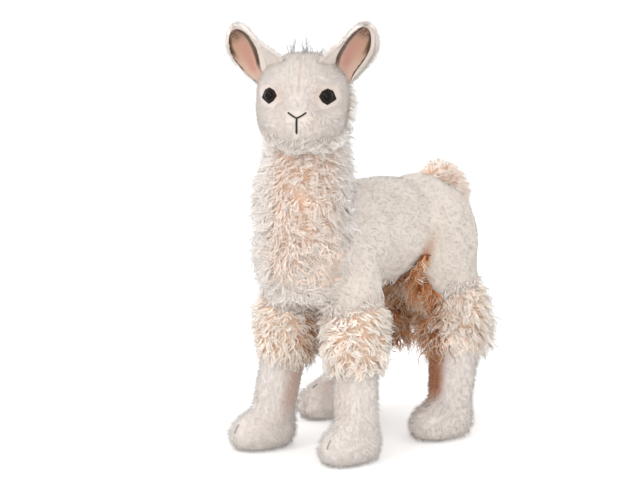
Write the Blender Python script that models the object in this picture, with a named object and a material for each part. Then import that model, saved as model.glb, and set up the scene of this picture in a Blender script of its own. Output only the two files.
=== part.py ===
"""A standing plush llama, sewn from short-pile and curly plush sections, at its real size.

Metres, +Z up. The llama faces -Y and turns its head to its own left, towards +X.
Every section is a soft stuffed solid. Most are skins cast from a blend of ellipsoids:
rays leave a line inside the section, and each stops where the blend ends.
The last step moves the whole toy so that the origin is at the bottom centre of its box.
"""

import math

import bmesh
import bpy
import numpy as np
from mathutils import Matrix, Vector
from mathutils.bvhtree import BVHTree

# Clearances between touching pieces: flat or turned ones, and curved stuffed ones
GAP = 0.0003
SEAT_GAP = 0.0008

# Legs and feet
FRONT_LEG_HEIGHT = 0.085
HIND_LEG_HEIGHT = 0.080
LEG_RADIUS = 0.0205
ANKLE_RADIUS = 0.0195
FOOT_LENGTH = 0.066
FOOT_WIDTH = 0.046
FOOT_HEIGHT = 0.036
FRONT_TRACK = 0.078
HIND_TRACK = 0.080
FRONT_LEG_Y = -0.008
WHEELBASE = 0.162
TOE_STITCH_LENGTH = 0.0065
TOE_STITCH_RADIUS = 0.0008
FRONT_TOE_PITCH = math.radians(13.0)
HIND_TOE_PITCH = math.radians(48.0)

# Curly fur bands on the legs
BAND_HEIGHT = 0.064
BAND_RADIUS = 0.0320
BAND_END_RADIUS = 0.0235
TUFT_DEPTH = 0.0030
BAND_SLANT = 0.45
HOCK_RADIUS = 0.0245
HOCK_BACK = 0.007

# Body
TORSO_WIDTH = 0.104
TORSO_DEPTH = 0.110
TORSO_RISE = 0.044
CHEST_REACH = 0.072
RUMP_REACH = 0.030
HAUNCH_WIDTH = 0.060
HAUNCH_LENGTH = 0.088
HAUNCH_RISE = 0.058
TAIL_LENGTH = 0.070
TAIL_RADIUS = 0.0175

# Neck
NECK_LEAD = 0.035
NECK_LEAN = 0.014
NECK_RADIUS = 0.0445
NECK_TOP_RADIUS = 0.0320
NECK_BOTTOM_RADIUS = 0.030
BIB_RISE = 0.010

# Head
HEAD_YAW = math.radians(31.0)
HEAD_PITCH = math.radians(-3.0)
HEAD_ABOVE_TORSO = 0.0965
HEAD_SET_BACK = 0.012
HEAD_LEAD = 0.032
SKULL_WIDTH = 0.084
SKULL_DEPTH = 0.076
SKULL_HEIGHT = 0.076
MUZZLE_WIDTH = 0.062
MUZZLE_HEIGHT = 0.048
MUZZLE_REACH = 0.062
MUZZLE_DROP = 0.018

# Eyes
EYE_DIAMETER = 0.0120
EYE_SPACING = 0.051
EYE_RISE = 0.007
EYE_STEM_RADIUS = 0.0020
EYE_STEM_LENGTH = 0.014
WASHER_RADIUS = 0.0070
WASHER_THICKNESS = 0.0016
EYELID_LENGTH = 0.0170
EYELID_HEIGHT = 0.0135
EYELID_THICKNESS = 0.0024

# Ears
EAR_LENGTH = 0.060
EAR_WIDTH = 0.042
EAR_THICKNESS = 0.0030
EAR_LINING_THICKNESS = 0.0010
EAR_CUP = 0.012
EAR_BEND = 0.004
EAR_RIM = 0.0034
EAR_FOLD = 0.70
LEFT_EAR_SPREAD = math.radians(27.0)
RIGHT_EAR_SPREAD = math.radians(31.0)
EAR_TURN = math.radians(34.0)
EAR_SPACING = 0.063
EAR_SET_BACK = 0.006
EAR_RISE = 0.0135

# Face stitching
STITCH_RADIUS = 0.0007
NOSE_ARM = 0.0078
NOSE_RISE = 0.0040
MOUTH_LENGTH = 0.0130

# Mesh density
TORSO_COLUMNS, TORSO_RINGS = 24, 18
HEAD_COLUMNS, HEAD_RINGS = 24, 16
NECK_COLUMNS, NECK_RINGS = 34, 18
BAND_COLUMNS, BAND_RINGS = 22, 9
LEG_COLUMNS, LEG_RINGS = 16, 11
HAUNCH_COLUMNS, HAUNCH_RINGS = 16, 12
TAIL_COLUMNS, TAIL_RINGS = 16, 10
EAR_COLUMNS, EAR_ROWS = 11, 9
TURNED_SEGMENTS = 16
THREAD_SIDES = 6

# Heights and places that follow from the sizes above
BAND_TOP = FRONT_LEG_HEIGHT + BAND_HEIGHT
TORSO_CENTRE_Z = BAND_TOP + TORSO_RISE
TORSO_TOP_Z = TORSO_CENTRE_Z + TORSO_DEPTH / 2
HIND_LEG_Y = FRONT_LEG_Y + WHEELBASE
NECK_Y = FRONT_LEG_Y - NECK_LEAD
HEAD_Z = TORSO_TOP_Z + HEAD_ABOVE_TORSO
NECK_TOP_Z = HEAD_Z + SKULL_HEIGHT * 0.12
FACE_FORWARD = np.array([math.sin(HEAD_YAW), -math.cos(HEAD_YAW), 0.0])
HEAD_CENTRE = np.array([0.0, NECK_Y + HEAD_SET_BACK, HEAD_Z]) + FACE_FORWARD * HEAD_LEAD

# Each leg: its side, its place where the fur band meets the body, the height of the
# bare leg, how far the ankle has stepped outwards and along Y, and how far the toes turn out
FRONT = (FRONT_TRACK / 2, FRONT_LEG_Y, FRONT_LEG_HEIGHT)
HIND = (HIND_TRACK / 2, HIND_LEG_Y, HIND_LEG_HEIGHT)
LEGS = {
    "front_left": (1, FRONT, (0.010, -0.012), math.radians(0.0)),
    "front_right": (-1, FRONT, (0.013, -0.012), math.radians(10.0)),
    "hind_left": (1, HIND, (0.022, -0.040), math.radians(-8.0)),
    "hind_right": (-1, HIND, (0.040, -0.032), math.radians(6.0)),
}

PLUSH = ("short_plush", (0.87, 0.80, 0.74), 0.95)
CURLS = ("curly_plush", (0.88, 0.76, 0.66), 0.95)
LINING = ("ear_lining", (0.76, 0.50, 0.44), 0.90)
EYE_BLACK = ("black_plastic", (0.01, 0.01, 0.012), 0.08)
LID_BROWN = ("brown_suede", (0.06, 0.03, 0.02), 0.80)
THREAD = ("black_thread", (0.015, 0.012, 0.012), 0.70)
GREY_THREAD = ("grey_thread", (0.12, 0.12, 0.12), 0.70)
WASHER_WHITE = ("washer_plastic", (0.85, 0.85, 0.83), 0.45)


# Shape fields: negative inside, positive outside, close to a distance in metres


def ellipsoid(points, centre, radii):
    """Near-distance to an ellipsoid with its axes along X, Y and Z."""
    offset = points - np.asarray(centre)
    near = np.linalg.norm(offset / radii, axis=-1)
    slope = np.linalg.norm(offset / np.square(radii), axis=-1)
    return near * (near - 1.0) / np.maximum(slope, 1e-9)


def rod(points, start, end, start_radius, end_radius):
    """Distance to a round-ended rod whose radius runs from one value to another."""
    start, end = np.asarray(start), np.asarray(end)
    along = np.clip((points - start) @ (end - start) / np.dot(end - start, end - start), 0, 1)
    axis_point = start + along[..., None] * (end - start)
    radius = start_radius + along * (end_radius - start_radius)
    return np.linalg.norm(points - axis_point, axis=-1) - radius


def blend(first, second, width):
    """Smooth union of two fields, rounded over the given width."""
    share = np.clip(0.5 + 0.5 * (second - first) / width, 0.0, 1.0)
    return second + (first - second) * share - width * share * (1.0 - share)


def turned_about_z(points, centre, angle):
    """The points as seen from a frame at centre that is turned by angle about Z."""
    offset = points - np.asarray(centre)
    c, s = math.cos(angle), math.sin(angle)
    turned = offset.copy()
    turned[..., 0] = c * offset[..., 0] + s * offset[..., 1]
    turned[..., 1] = -s * offset[..., 0] + c * offset[..., 1]
    return turned


def cast(field, origins, directions, reach):
    """Where each ray last leaves the solid: a coarse walk, then halving."""
    steps = np.linspace(0.0, reach, 60)
    samples = origins[:, None] + steps[None, :, None] * directions[:, None]
    inside = field(samples) < 0
    last = inside.shape[1] - 1 - np.argmax(inside[:, ::-1], axis=1)
    low = steps[last]
    high = low + steps[1]
    for _ in range(24):
        middle = (low + high) / 2
        within = field(origins + middle[:, None] * directions) < 0
        low = np.where(within, middle, low)
        high = np.where(within, high, middle)
    return origins + low[:, None] * directions


# Meshes


def link(name, bm, finish, shade_angle=60.0):
    """Puts a finished bmesh in the scene as one named object with its material."""
    bmesh.ops.recalc_face_normals(bm, faces=bm.faces)
    mesh = bpy.data.meshes.new(name)
    bm.to_mesh(mesh)
    bm.free()
    mesh.shade_smooth()
    mesh.set_sharp_from_angle(angle=math.radians(shade_angle))
    obj = bpy.data.objects.new(name, mesh)
    bpy.context.scene.collection.objects.link(obj)
    mesh.materials.append(material(*finish))
    return obj


def material(name, colour, roughness):
    """One Principled material for each finish, shared by its pieces."""
    found = bpy.data.materials.get(name)
    if found:
        return found
    made = bpy.data.materials.new(name)
    made.use_nodes = True
    shader = made.node_tree.nodes["Principled BSDF"]
    shader.inputs["Base Color"].default_value = (*colour, 1.0)
    shader.inputs["Roughness"].default_value = roughness
    shader.inputs["Metallic"].default_value = 0.0
    return made


def skin(rings, start_pole=None, end_pole=None, pointed=False):
    """A closed bmesh through rings of equal count. An end without a pole is a flat cap.

    pointed splits each quad so that raised points stand alone, not joined in ridges.
    """
    bm = bmesh.new()
    loops = [[bm.verts.new(p) for p in ring] for ring in rings]
    count = len(loops[0])
    for row, (lower, upper) in enumerate(zip(loops, loops[1:])):
        for i in range(count):
            j = (i + 1) % count
            if not pointed:
                bm.faces.new((lower[i], lower[j], upper[j], upper[i]))
            elif (i + row) % 2 == 0:
                bm.faces.new((lower[i], lower[j], upper[i]))
                bm.faces.new((lower[j], upper[j], upper[i]))
            else:
                bm.faces.new((lower[i], lower[j], upper[j]))
                bm.faces.new((lower[i], upper[j], upper[i]))
    for loop, pole in ((loops[0], start_pole), (loops[-1], end_pole)):
        middle = np.mean([v.co for v in loop], axis=0) if pole is None else pole
        tip = bm.verts.new(middle)
        for i in range(count):
            bm.faces.new((loop[i], loop[(i + 1) % count], tip))
    return bm


def rings_along(field, start, end, columns, rings, across, reach, caps=("pole", "pole")):
    """Rings cast from the straight line start-end, and the two poles where an end is round.

    across is the pair of directions that spans each ring. A round end is found by
    casting along the line, and its rings crowd towards the pole.
    """
    start, end = np.array(start, float), np.array(end, float)
    along = (end - start) / np.linalg.norm(end - start)
    poles = [None, None]
    if caps[0] == "pole":
        poles[0] = cast(field, start[None], -along[None], reach)[0]
        start = poles[0]
    if caps[1] == "pole":
        poles[1] = cast(field, end[None], along[None], reach)[0]
        end = poles[1]
    steps = np.linspace(0.0, 1.0, rings + 2)
    if caps == ("pole", "pole"):
        shares = (0.5 - 0.5 * np.cos(np.pi * steps))[1:-1]
    elif caps[1] == "pole":
        shares = np.sin(np.pi / 2 * steps)[:-1]
    elif caps[0] == "pole":
        shares = (1.0 - np.cos(np.pi / 2 * steps))[1:]
    else:
        shares = steps
    angles = np.linspace(0.0, 2 * np.pi, columns, endpoint=False)
    spokes = np.outer(np.cos(angles), across[0]) + np.outer(np.sin(angles), across[1])
    made = []
    for share in shares:
        origin = start + share * (end - start)
        made.append(cast(field, np.repeat(origin[None], columns, axis=0), spokes, reach))
    return made, poles[0], poles[1]


ACROSS_Z = (np.array([1.0, 0.0, 0.0]), np.array([0.0, 1.0, 0.0]))
ACROSS_Y = (np.array([1.0, 0.0, 0.0]), np.array([0.0, 0.0, 1.0]))


def tufted(rings, depth):
    """Raises every other point of each ring, so that the surface stands in pointed locks."""
    made = []
    for row, ring in enumerate(rings):
        centre = ring.mean(axis=0)
        outwards = ring - centre
        outwards /= np.maximum(np.linalg.norm(outwards, axis=1, keepdims=True), 1e-9)
        raised = (np.arange(len(ring)) + row) % 2 == 0
        lift = np.where(raised, depth, 0.0) if 0 < row < len(rings) - 1 else np.zeros(len(ring))
        droop = np.where(raised, -depth, 0.0) if 0 < row < len(rings) - 1 else np.zeros(len(ring))
        moved = ring + outwards * lift[:, None]
        moved[:, 2] += droop
        made.append(moved)
    return made


def cut(target, cutter):
    """Takes the cutter's shape out of the target and hides the cutter."""
    cutter.hide_render = True
    cutter.display_type = "WIRE"
    modifier = target.modifiers.new("cut_" + cutter.name, "BOOLEAN")
    modifier.operation = "DIFFERENCE"
    modifier.solver = "EXACT"
    modifier.object = cutter


# Legs


def leg_places(name):
    """Top centre, band foot and ankle of a leg, and the turn of its foot."""
    side, (hip, top_y, leg_height), (step_out, step_y), toe_out = LEGS[name]
    top_z = leg_height + BAND_HEIGHT
    top = np.array([side * hip, top_y, top_z])
    ankle = np.array([side * (hip + step_out), top_y + step_y, FOOT_HEIGHT / 2])
    knee = top + BAND_HEIGHT / (top_z - FOOT_HEIGHT / 2) * (ankle - top)
    knee[:2] = top[:2] + BAND_SLANT * (knee[:2] - top[:2])
    if name.startswith("hind"):
        knee[1] += HOCK_BACK
    return top, knee, ankle, side * toe_out


def leg_field(name, grow=0.0):
    """A tapered leg blended into a foot that reaches forward from the ankle."""
    top, knee, ankle, turn = leg_places(name)
    heel = FOOT_LENGTH / 2 - ANKLE_RADIUS
    toe_way = np.array([math.sin(turn), -math.cos(turn), 0.0])
    foot = np.array([ankle[0], ankle[1], FOOT_HEIGHT * 0.42]) + toe_way * heel
    radii = np.array([FOOT_WIDTH, FOOT_LENGTH, FOOT_HEIGHT * 1.16]) / 2
    knee_radius = HOCK_RADIUS if name.startswith("hind") else LEG_RADIUS

    def field(points):
        shank = rod(points, ankle, knee, ANKLE_RADIUS, knee_radius)
        bun = ellipsoid(turned_about_z(points, foot, turn), (0, 0, 0), radii)
        return blend(shank, bun, 0.012) - grow

    return field


def make_leg(name):
    """Lower leg and foot: flat sole on the floor, flat top against the fur band."""
    top, knee, ankle, turn = leg_places(name)
    sole = np.array([ankle[0], ankle[1], 0.0]) + (ankle - knee) * 0.15 * np.array([1, 1, 0])
    rings, _, _ = rings_along(
        leg_field(name), sole, knee, LEG_COLUMNS, LEG_RINGS, ACROSS_Z, FOOT_LENGTH, ("flat", "flat")
    )
    return link(name + "_leg", skin(rings), PLUSH)


def make_band(name):
    """Curly fur band: a barrel of pointed locks between the lower leg and the body."""
    top, knee, ankle, turn = leg_places(name)
    foot_end = knee + np.array([0, 0, GAP])
    rings = []
    for row in range(BAND_RINGS):
        share = row / (BAND_RINGS - 1)
        centre = foot_end + share * (top - foot_end)
        radius = BAND_END_RADIUS + (BAND_RADIUS - BAND_END_RADIUS) * math.sin(math.pi * share) ** 0.6
        angles = np.linspace(0, 2 * np.pi, BAND_COLUMNS, endpoint=False)
        rings.append(
            centre + radius * np.stack([np.cos(angles), np.sin(angles), 0 * angles], axis=1)
        )
    return link(name + "_leg_fur", skin(tufted(rings, TUFT_DEPTH), pointed=True), CURLS)


# Torso, haunches and tail


def torso_field(points):
    """Chest, belly and rump, with a shoulder over each front leg."""
    half = np.array([TORSO_WIDTH, 0.0, TORSO_DEPTH]) / 2
    chest = ellipsoid(
        points, (0, FRONT_LEG_Y, TORSO_CENTRE_Z + 0.002), half + (0, CHEST_REACH, 0)
    )
    middle = ellipsoid(
        points,
        (0, FRONT_LEG_Y + WHEELBASE * 0.50, TORSO_CENTRE_Z + 0.008),
        half * (0.94, 1, 0.92) + (0, WHEELBASE * 0.62, 0),
    )
    rump = ellipsoid(
        points,
        (0, HIND_LEG_Y, TORSO_CENTRE_Z + 0.006),
        half * (0.92, 1, 0.84) + (0, RUMP_REACH, 0),
    )
    body = blend(blend(chest, middle, 0.02), rump, 0.02)
    for side in (-1, 1):
        shoulder = ellipsoid(
            points,
            (side * (FRONT_TRACK / 2 - 0.003), FRONT_LEG_Y, BAND_TOP + 0.012),
            np.array([0.026, 0.030, 0.040]),
        )
        body = blend(body, shoulder, 0.012)
    return body


def make_torso():
    """The torso, with a flat seat over each front leg's fur band."""
    start = (0, FRONT_LEG_Y, TORSO_CENTRE_Z)
    end = (0, HIND_LEG_Y, TORSO_CENTRE_Z)
    rings, first, last = rings_along(
        torso_field, start, end, TORSO_COLUMNS, TORSO_RINGS, ACROSS_Y, 0.15
    )
    torso = link("torso", skin(rings, first, last), PLUSH)
    for name in ("front_left", "front_right"):
        top, knee, ankle, turn = leg_places(name)
        reach = BAND_RADIUS + 2.5 * TUFT_DEPTH
        bm = bmesh.new()
        bmesh.ops.create_cone(
            bm,
            cap_ends=True,
            segments=TURNED_SEGMENTS,
            radius1=reach,
            radius2=reach,
            depth=BAND_HEIGHT,
            matrix=Matrix.Translation((top[0], top[1], BAND_TOP + GAP - BAND_HEIGHT / 2)),
        )
        cut(torso, link(name + "_seat_cutter", bm, PLUSH))
    return torso


def haunch_field(name, grow=0.0):
    """The smooth thigh: an upright flattened egg that narrows to the fur band."""
    top, knee, ankle, turn = leg_places(name)
    side = LEGS[name][0]
    centre = top + np.array([-side * 0.006, -0.012, HAUNCH_RISE * 0.62])
    radii = np.array([HAUNCH_WIDTH / 2, HAUNCH_LENGTH / 2, HAUNCH_RISE])

    def field(points):
        thigh = ellipsoid(points, centre, radii)
        shank = rod(points, top, centre, BAND_END_RADIUS, BAND_END_RADIUS * 0.8)
        return blend(thigh, shank, 0.010) - grow

    return field, top, centre


def make_haunch(name, grow=0.0):
    """The thigh, flat underneath where its fur band starts."""
    field, top, centre = haunch_field(name, grow)
    foot = top + np.array([0, 0, GAP - grow * 2])
    rings, _, crown = rings_along(
        field, foot, centre, HAUNCH_COLUMNS, HAUNCH_RINGS, ACROSS_Z, 0.10, ("flat", "pole")
    )
    label = name + ("_haunch_cutter" if grow else "_haunch")
    return link(label, skin(rings, None, crown), PLUSH)


def tail_spine(share):
    """The tail leaves the rump's top and curls down behind it: a quarter turn."""
    root = np.array([0.0, HIND_LEG_Y + RUMP_REACH * 0.45, TORSO_TOP_Z - 0.005])
    bend = TAIL_LENGTH / (math.pi / 2)
    angle = share * math.pi / 2
    return root + bend * np.array([0.0, math.sin(angle), math.cos(angle) - 1.0])


def make_tail(grow=0.0):
    """Curly tail: rings square to its bent spine, fattest in the middle."""
    rings = []
    for row in range(TAIL_RINGS):
        share = (row + 0.5) / TAIL_RINGS
        centre = tail_spine(share)
        forward = tail_spine(share + 0.01) - centre
        forward /= np.linalg.norm(forward)
        sideways = np.array([1.0, 0.0, 0.0])
        up = np.cross(sideways, forward)
        radius = TAIL_RADIUS * (math.sin(math.pi * share) ** 0.45) + grow
        angles = np.linspace(0, 2 * np.pi, TAIL_COLUMNS, endpoint=False)
        rings.append(
            centre + radius * (np.outer(np.cos(angles), sideways) + np.outer(np.sin(angles), up))
        )
    root, tip = tail_spine(-grow / TAIL_LENGTH), tail_spine(1 + grow / TAIL_LENGTH)
    bm = skin(rings, root, tip) if grow else skin(tufted(rings, TUFT_DEPTH * 0.7), root, tip, True)
    return link("tail_cutter" if grow else "tail", bm, CURLS)


# Neck


def neck_rings(grow=0.0):
    """Level rings down the neck: widest at the breast, narrow at chin and bib."""
    bottom = BAND_TOP + BIB_RISE
    height = NECK_TOP_Z - bottom
    stations = np.array([0.0, 0.12, 0.30, 0.50, 0.68, 0.84, 0.94, 1.0])
    radii = np.array(
        [
            NECK_BOTTOM_RADIUS * 0.55,
            NECK_BOTTOM_RADIUS * 1.15,
            NECK_RADIUS * 0.95,
            NECK_RADIUS,
            NECK_RADIUS * 0.90,
            NECK_TOP_RADIUS,
            NECK_TOP_RADIUS * 0.84,
            NECK_TOP_RADIUS * 0.35,
        ]
    )
    rings = []
    for row in range(NECK_RINGS):
        share = row / (NECK_RINGS - 1)
        radius = smooth_through(stations, radii, share) + grow
        lean = NECK_LEAN * share**1.3
        centre = np.array([0.0, NECK_Y + lean, bottom + share * height - grow])
        angles = np.linspace(0, 2 * np.pi, NECK_COLUMNS, endpoint=False)
        rings.append(
            centre + radius * np.stack([np.cos(angles), np.sin(angles), 0 * angles], axis=1)
        )
    return rings


def smooth_through(stations, values, share):
    """A value read from a smooth curve through the stations, eased between each pair."""
    index = int(np.clip(np.searchsorted(stations, share) - 1, 0, len(stations) - 2))
    before = values[max(index - 1, 0)]
    after = values[min(index + 2, len(values) - 1)]
    low, high = values[index], values[index + 1]
    t = (share - stations[index]) / (stations[index + 1] - stations[index])
    slope_low, slope_high = (high - before) / 2, (after - low) / 2
    return (
        low * (1 + 2 * t) * (1 - t) ** 2
        + slope_low * t * (1 - t) ** 2
        + high * t * t * (3 - 2 * t)
        + slope_high * t * t * (t - 1)
    )


def make_neck():
    neck = link("neck_fur", skin(tufted(neck_rings(), TUFT_DEPTH), pointed=True), CURLS)
    cut(neck, make_head("head_seat_cutter", SEAT_GAP))
    return neck


# Head


def head_axes():
    """Left, back and up of the head, as columns, from its yaw and pitch."""
    return np.array(
        Matrix.Rotation(HEAD_YAW, 3, "Z") @ Matrix.Rotation(-HEAD_PITCH, 3, "X")
    )


HEAD_AXES = head_axes()


def on_head(left, forward, up):
    """A point given in the head's own frame, as a place in the toy's frame."""
    return HEAD_CENTRE + HEAD_AXES @ np.array([left, -forward, up])


def head_field(points, grow=0.0):
    """Skull and muzzle, with full cheeks between them."""
    local = (points - HEAD_CENTRE) @ HEAD_AXES
    skull = ellipsoid(
        local, (0, 0, SKULL_HEIGHT * 0.05), np.array([SKULL_WIDTH, SKULL_DEPTH, SKULL_HEIGHT]) / 2
    )
    reach = MUZZLE_REACH / 2
    muzzle = ellipsoid(
        local,
        (0, -(MUZZLE_REACH - reach), -MUZZLE_DROP),
        np.array([MUZZLE_WIDTH / 2, reach, MUZZLE_HEIGHT / 2]),
    )
    body = blend(skull, muzzle, 0.016)
    for side in (-1, 1):
        cheek = ellipsoid(
            local,
            (side * SKULL_WIDTH * 0.20, -SKULL_DEPTH * 0.14, -MUZZLE_DROP),
            np.array([SKULL_WIDTH * 0.26, SKULL_DEPTH * 0.34, SKULL_HEIGHT * 0.30]),
        )
        body = blend(body, cheek, 0.014)
    return body - grow


def make_head(label="head", grow=0.0):
    """The stuffed head, cast from an upright line through its middle."""
    low = on_head(0, 0.006, -SKULL_HEIGHT * 0.2)
    high = on_head(0, 0.006, SKULL_HEIGHT * 0.2)
    across = (HEAD_AXES[:, 0], HEAD_AXES[:, 1])
    rings, first, last = rings_along(
        lambda p: head_field(p, grow), low, high, HEAD_COLUMNS, HEAD_RINGS, across, 0.10
    )
    return link(label, skin(rings, first, last), PLUSH)


def head_surface(left, up, lift=0.0):
    """The point of the face straight ahead of (left, up), raised along its normal, and that normal."""
    origin = on_head(left, 0.0, up)
    forward = -HEAD_AXES[:, 1]
    hit = cast(head_field, origin[None], forward[None], 0.12)[0]
    step = 1e-4
    slope = np.array(
        [head_field(hit + step * axis) - head_field(hit - step * axis) for axis in np.eye(3)]
    )
    normal = slope / np.linalg.norm(slope)
    return hit + normal * lift, normal


def frame_at(point, normal):
    """A matrix whose Z is the normal and whose X is level."""
    z = Vector(normal).normalized()
    x = Vector((0, 0, 1)).cross(z).normalized()
    y = z.cross(x)
    return Matrix.Translation(point) @ Matrix((x, y, z)).transposed().to_4x4()


def turned(name, profile, place, finish):
    """A solid turned about local Z from (radius, height) points.

    A profile that starts on the axis ends on it too. One that doesn't is a closed ring.
    """
    angles = np.linspace(0.0, 2 * np.pi, TURNED_SEGMENTS, endpoint=False)
    bm = bmesh.new()
    rows = []
    for radius, height in profile:
        if radius == 0.0:
            rows.append([bm.verts.new((0.0, 0.0, height))] * TURNED_SEGMENTS)
        else:
            circle = [(radius * math.cos(a), radius * math.sin(a), height) for a in angles]
            rows.append([bm.verts.new(corner) for corner in circle])
    pairs = list(zip(rows, rows[1:]))
    if profile[0][0] > 0.0:
        pairs.append((rows[-1], rows[0]))
    for upper, lower in pairs:
        for i in range(TURNED_SEGMENTS):
            j = (i + 1) % TURNED_SEGMENTS
            corners = [upper[i], lower[i], lower[j], upper[j]]
            bm.faces.new(list(dict.fromkeys(corners)))
    bm.transform(place)
    return link(name, bm, finish, 35.0)


def dome(radius, sink, steps=5):
    """Profile of a ball's front from its top down to a rim that is sunk below its middle."""
    angles = np.linspace(0.0, math.pi / 2, steps)
    return [(radius * math.sin(a), radius * math.cos(a) - sink) for a in angles]


def eye_place(side):
    point, normal = head_surface(side * EYE_SPACING / 2, EYE_RISE)
    return frame_at(point, normal), point, normal


def make_eye(label, side, head):
    """Domed plastic eye with a stem, and the washer that locks it inside the head."""
    place, _, _ = eye_place(side)
    radius = EYE_DIAMETER / 2
    sink = radius * 0.42
    back = -sink - radius * 0.30
    stem_end = back - EYE_STEM_LENGTH
    profile = dome(radius, sink) + [
        (radius * 0.8, back),
        (EYE_STEM_RADIUS, back),
        (EYE_STEM_RADIUS, stem_end),
        (0.0, stem_end),
    ]
    turned(label + "_eye", profile, place, EYE_BLACK)
    washer_front = stem_end + EYE_STEM_LENGTH * 0.35
    washer_back = washer_front - WASHER_THICKNESS
    ring = [
        (EYE_STEM_RADIUS + GAP, washer_front),
        (WASHER_RADIUS, washer_front),
        (WASHER_RADIUS, washer_back),
        (EYE_STEM_RADIUS + GAP, washer_back),
    ]
    turned(label + "_eye_washer", ring, place, WASHER_WHITE)
    pocket = [
        (0.0, radius * 2),
        (radius + GAP, radius * 2),
        (radius + GAP, back + radius * 0.3),
        (radius * 0.8 + GAP, back - GAP),
        (EYE_STEM_RADIUS + GAP, back - GAP),
        (EYE_STEM_RADIUS + GAP, washer_front + GAP),
        (WASHER_RADIUS + GAP, washer_front + GAP),
        (WASHER_RADIUS + GAP, washer_back - GAP),
        (EYE_STEM_RADIUS + GAP, washer_back - GAP),
        (EYE_STEM_RADIUS + GAP, stem_end - GAP),
        (0.0, stem_end - GAP),
    ]
    cut(head, turned(label + "_eye_pocket_cutter", pocket, place, PLUSH))


def make_eyelid(label, side):
    """Brown suede lid: an almond with a pointed corner at each end, under the eye's rim."""
    place, _, _ = eye_place(side)
    tilt = Matrix.Rotation(side * math.radians(-18.0), 4, "Z")
    bm = bmesh.new()
    outline = []
    for i in range(20):
        angle = 2 * math.pi * i / 20
        x = EYELID_LENGTH / 2 * math.cos(angle)
        y = EYELID_HEIGHT / 2 * math.sin(angle) * abs(math.sin(angle)) ** 0.35
        outline.append(bm.verts.new((x, y, -EYELID_THICKNESS * 0.5)))
    face = bm.faces.new(outline)
    grown = bmesh.ops.extrude_face_region(bm, geom=[face])
    top = [v for v in grown["geom"] if isinstance(v, bmesh.types.BMVert)]
    bmesh.ops.translate(bm, verts=top, vec=(0, 0, EYELID_THICKNESS))
    bm.transform(place @ tilt)
    lid = link(label + "_eyelid", bm, LID_BROWN, 35.0)
    cut(lid, make_head(label + "_lid_head_cutter", SEAT_GAP))
    radius = EYE_DIAMETER / 2 + GAP
    hole = [(0.0, radius * 2), (radius, radius * 2), (radius, -radius * 2), (0.0, -radius * 2)]
    cut(lid, turned(label + "_lid_hole_cutter", hole, place, PLUSH))


# Ears


def ear_place(side):
    """Base of the ear, and its directions: along, sideways and towards its open side."""
    base = on_head(side * EAR_SPACING / 2, -EAR_SET_BACK, EAR_RISE)
    left, forward, up = HEAD_AXES[:, 0], -HEAD_AXES[:, 1], HEAD_AXES[:, 2]
    spread = LEFT_EAR_SPREAD if side > 0 else RIGHT_EAR_SPREAD
    along = up * math.cos(spread) + left * side * math.sin(spread)
    opening = forward * math.cos(EAR_TURN) + left * side * math.sin(EAR_TURN)
    opening -= along * np.dot(along, opening)
    opening /= np.linalg.norm(opening)
    return base, along, np.cross(along, opening), opening


def eased(value, low, high):
    """A smooth step from 0 to 1 as the value goes from low to high."""
    t = min(1.0, max(0.0, (value - low) / (high - low)))
    return t * t * (3.0 - 2.0 * t)


def ear_point(side, share, across, high, inset, height):
    """A point of the cupped leaf, raised by height on its open side.

    across runs from -1 to 1, and the leaf is rounded off towards its high end. On the
    crown's side the outer leaf reaches further round, and on the other side it is drawn
    in towards its root.
    """
    base, along, sideways, opening = ear_place(side)
    full = EAR_WIDTH / 2
    reach = across * (full - inset) * math.sqrt(1.0 - min(share / high, 0.96) ** 3)
    crown_side = across * side < 0.0
    if crown_side and not inset:
        reach *= 1.0 + EAR_FOLD * (1.0 - share)
    elif crown_side:
        reach *= 0.30 + 0.70 * eased(share, 0.0, 0.55)
    else:
        reach *= 0.56 + 0.44 * eased(share, 0.0, 0.50)
    turn_in = abs(reach) / full
    cup = EAR_CUP * (min(turn_in, 1.0) ** 2 + 0.3 * max(turn_in - 1.0, 0.0))
    if crown_side:
        cup *= 0.45 + 0.55 * eased(share, 0.1, 0.6)
    bend = EAR_BEND * math.sin(math.pi * share)
    return base + along * EAR_LENGTH * share + sideways * reach + opening * (cup - bend + height)


def ear_leaf(label, side, span, inset, lift, thickness, finish):
    """A leaf of real thickness between two shares of the ear's length."""
    bm = bmesh.new()
    sheets = []
    for height in (lift, lift + thickness):
        rows = []
        for share in np.linspace(*span, EAR_ROWS + 1):
            line = []
            for across in np.linspace(-1.0, 1.0, EAR_COLUMNS):
                line.append(bm.verts.new(ear_point(side, share, across, span[1], inset, height)))
            rows.append(line)
        sheets.append(rows)
    back, front = sheets
    for row in range(EAR_ROWS):
        for column in range(EAR_COLUMNS - 1):
            for rows in (back, front):
                bm.faces.new(
                    (
                        rows[row][column],
                        rows[row][column + 1],
                        rows[row + 1][column + 1],
                        rows[row + 1][column],
                    )
                )
    rim = [(r, 0) for r in range(EAR_ROWS + 1)]
    rim += [(EAR_ROWS, c) for c in range(1, EAR_COLUMNS)]
    rim += [(r, EAR_COLUMNS - 1) for r in range(EAR_ROWS - 1, -1, -1)]
    rim += [(0, c) for c in range(EAR_COLUMNS - 2, 0, -1)]
    for (r0, c0), (r1, c1) in zip(rim, rim[1:] + rim[:1]):
        bm.faces.new((back[r0][c0], back[r1][c1], front[r1][c1], front[r0][c0]))
    leaf = link(label, bm, finish)
    cut(leaf, make_head(label + "_head_cutter", SEAT_GAP))
    return leaf


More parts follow.
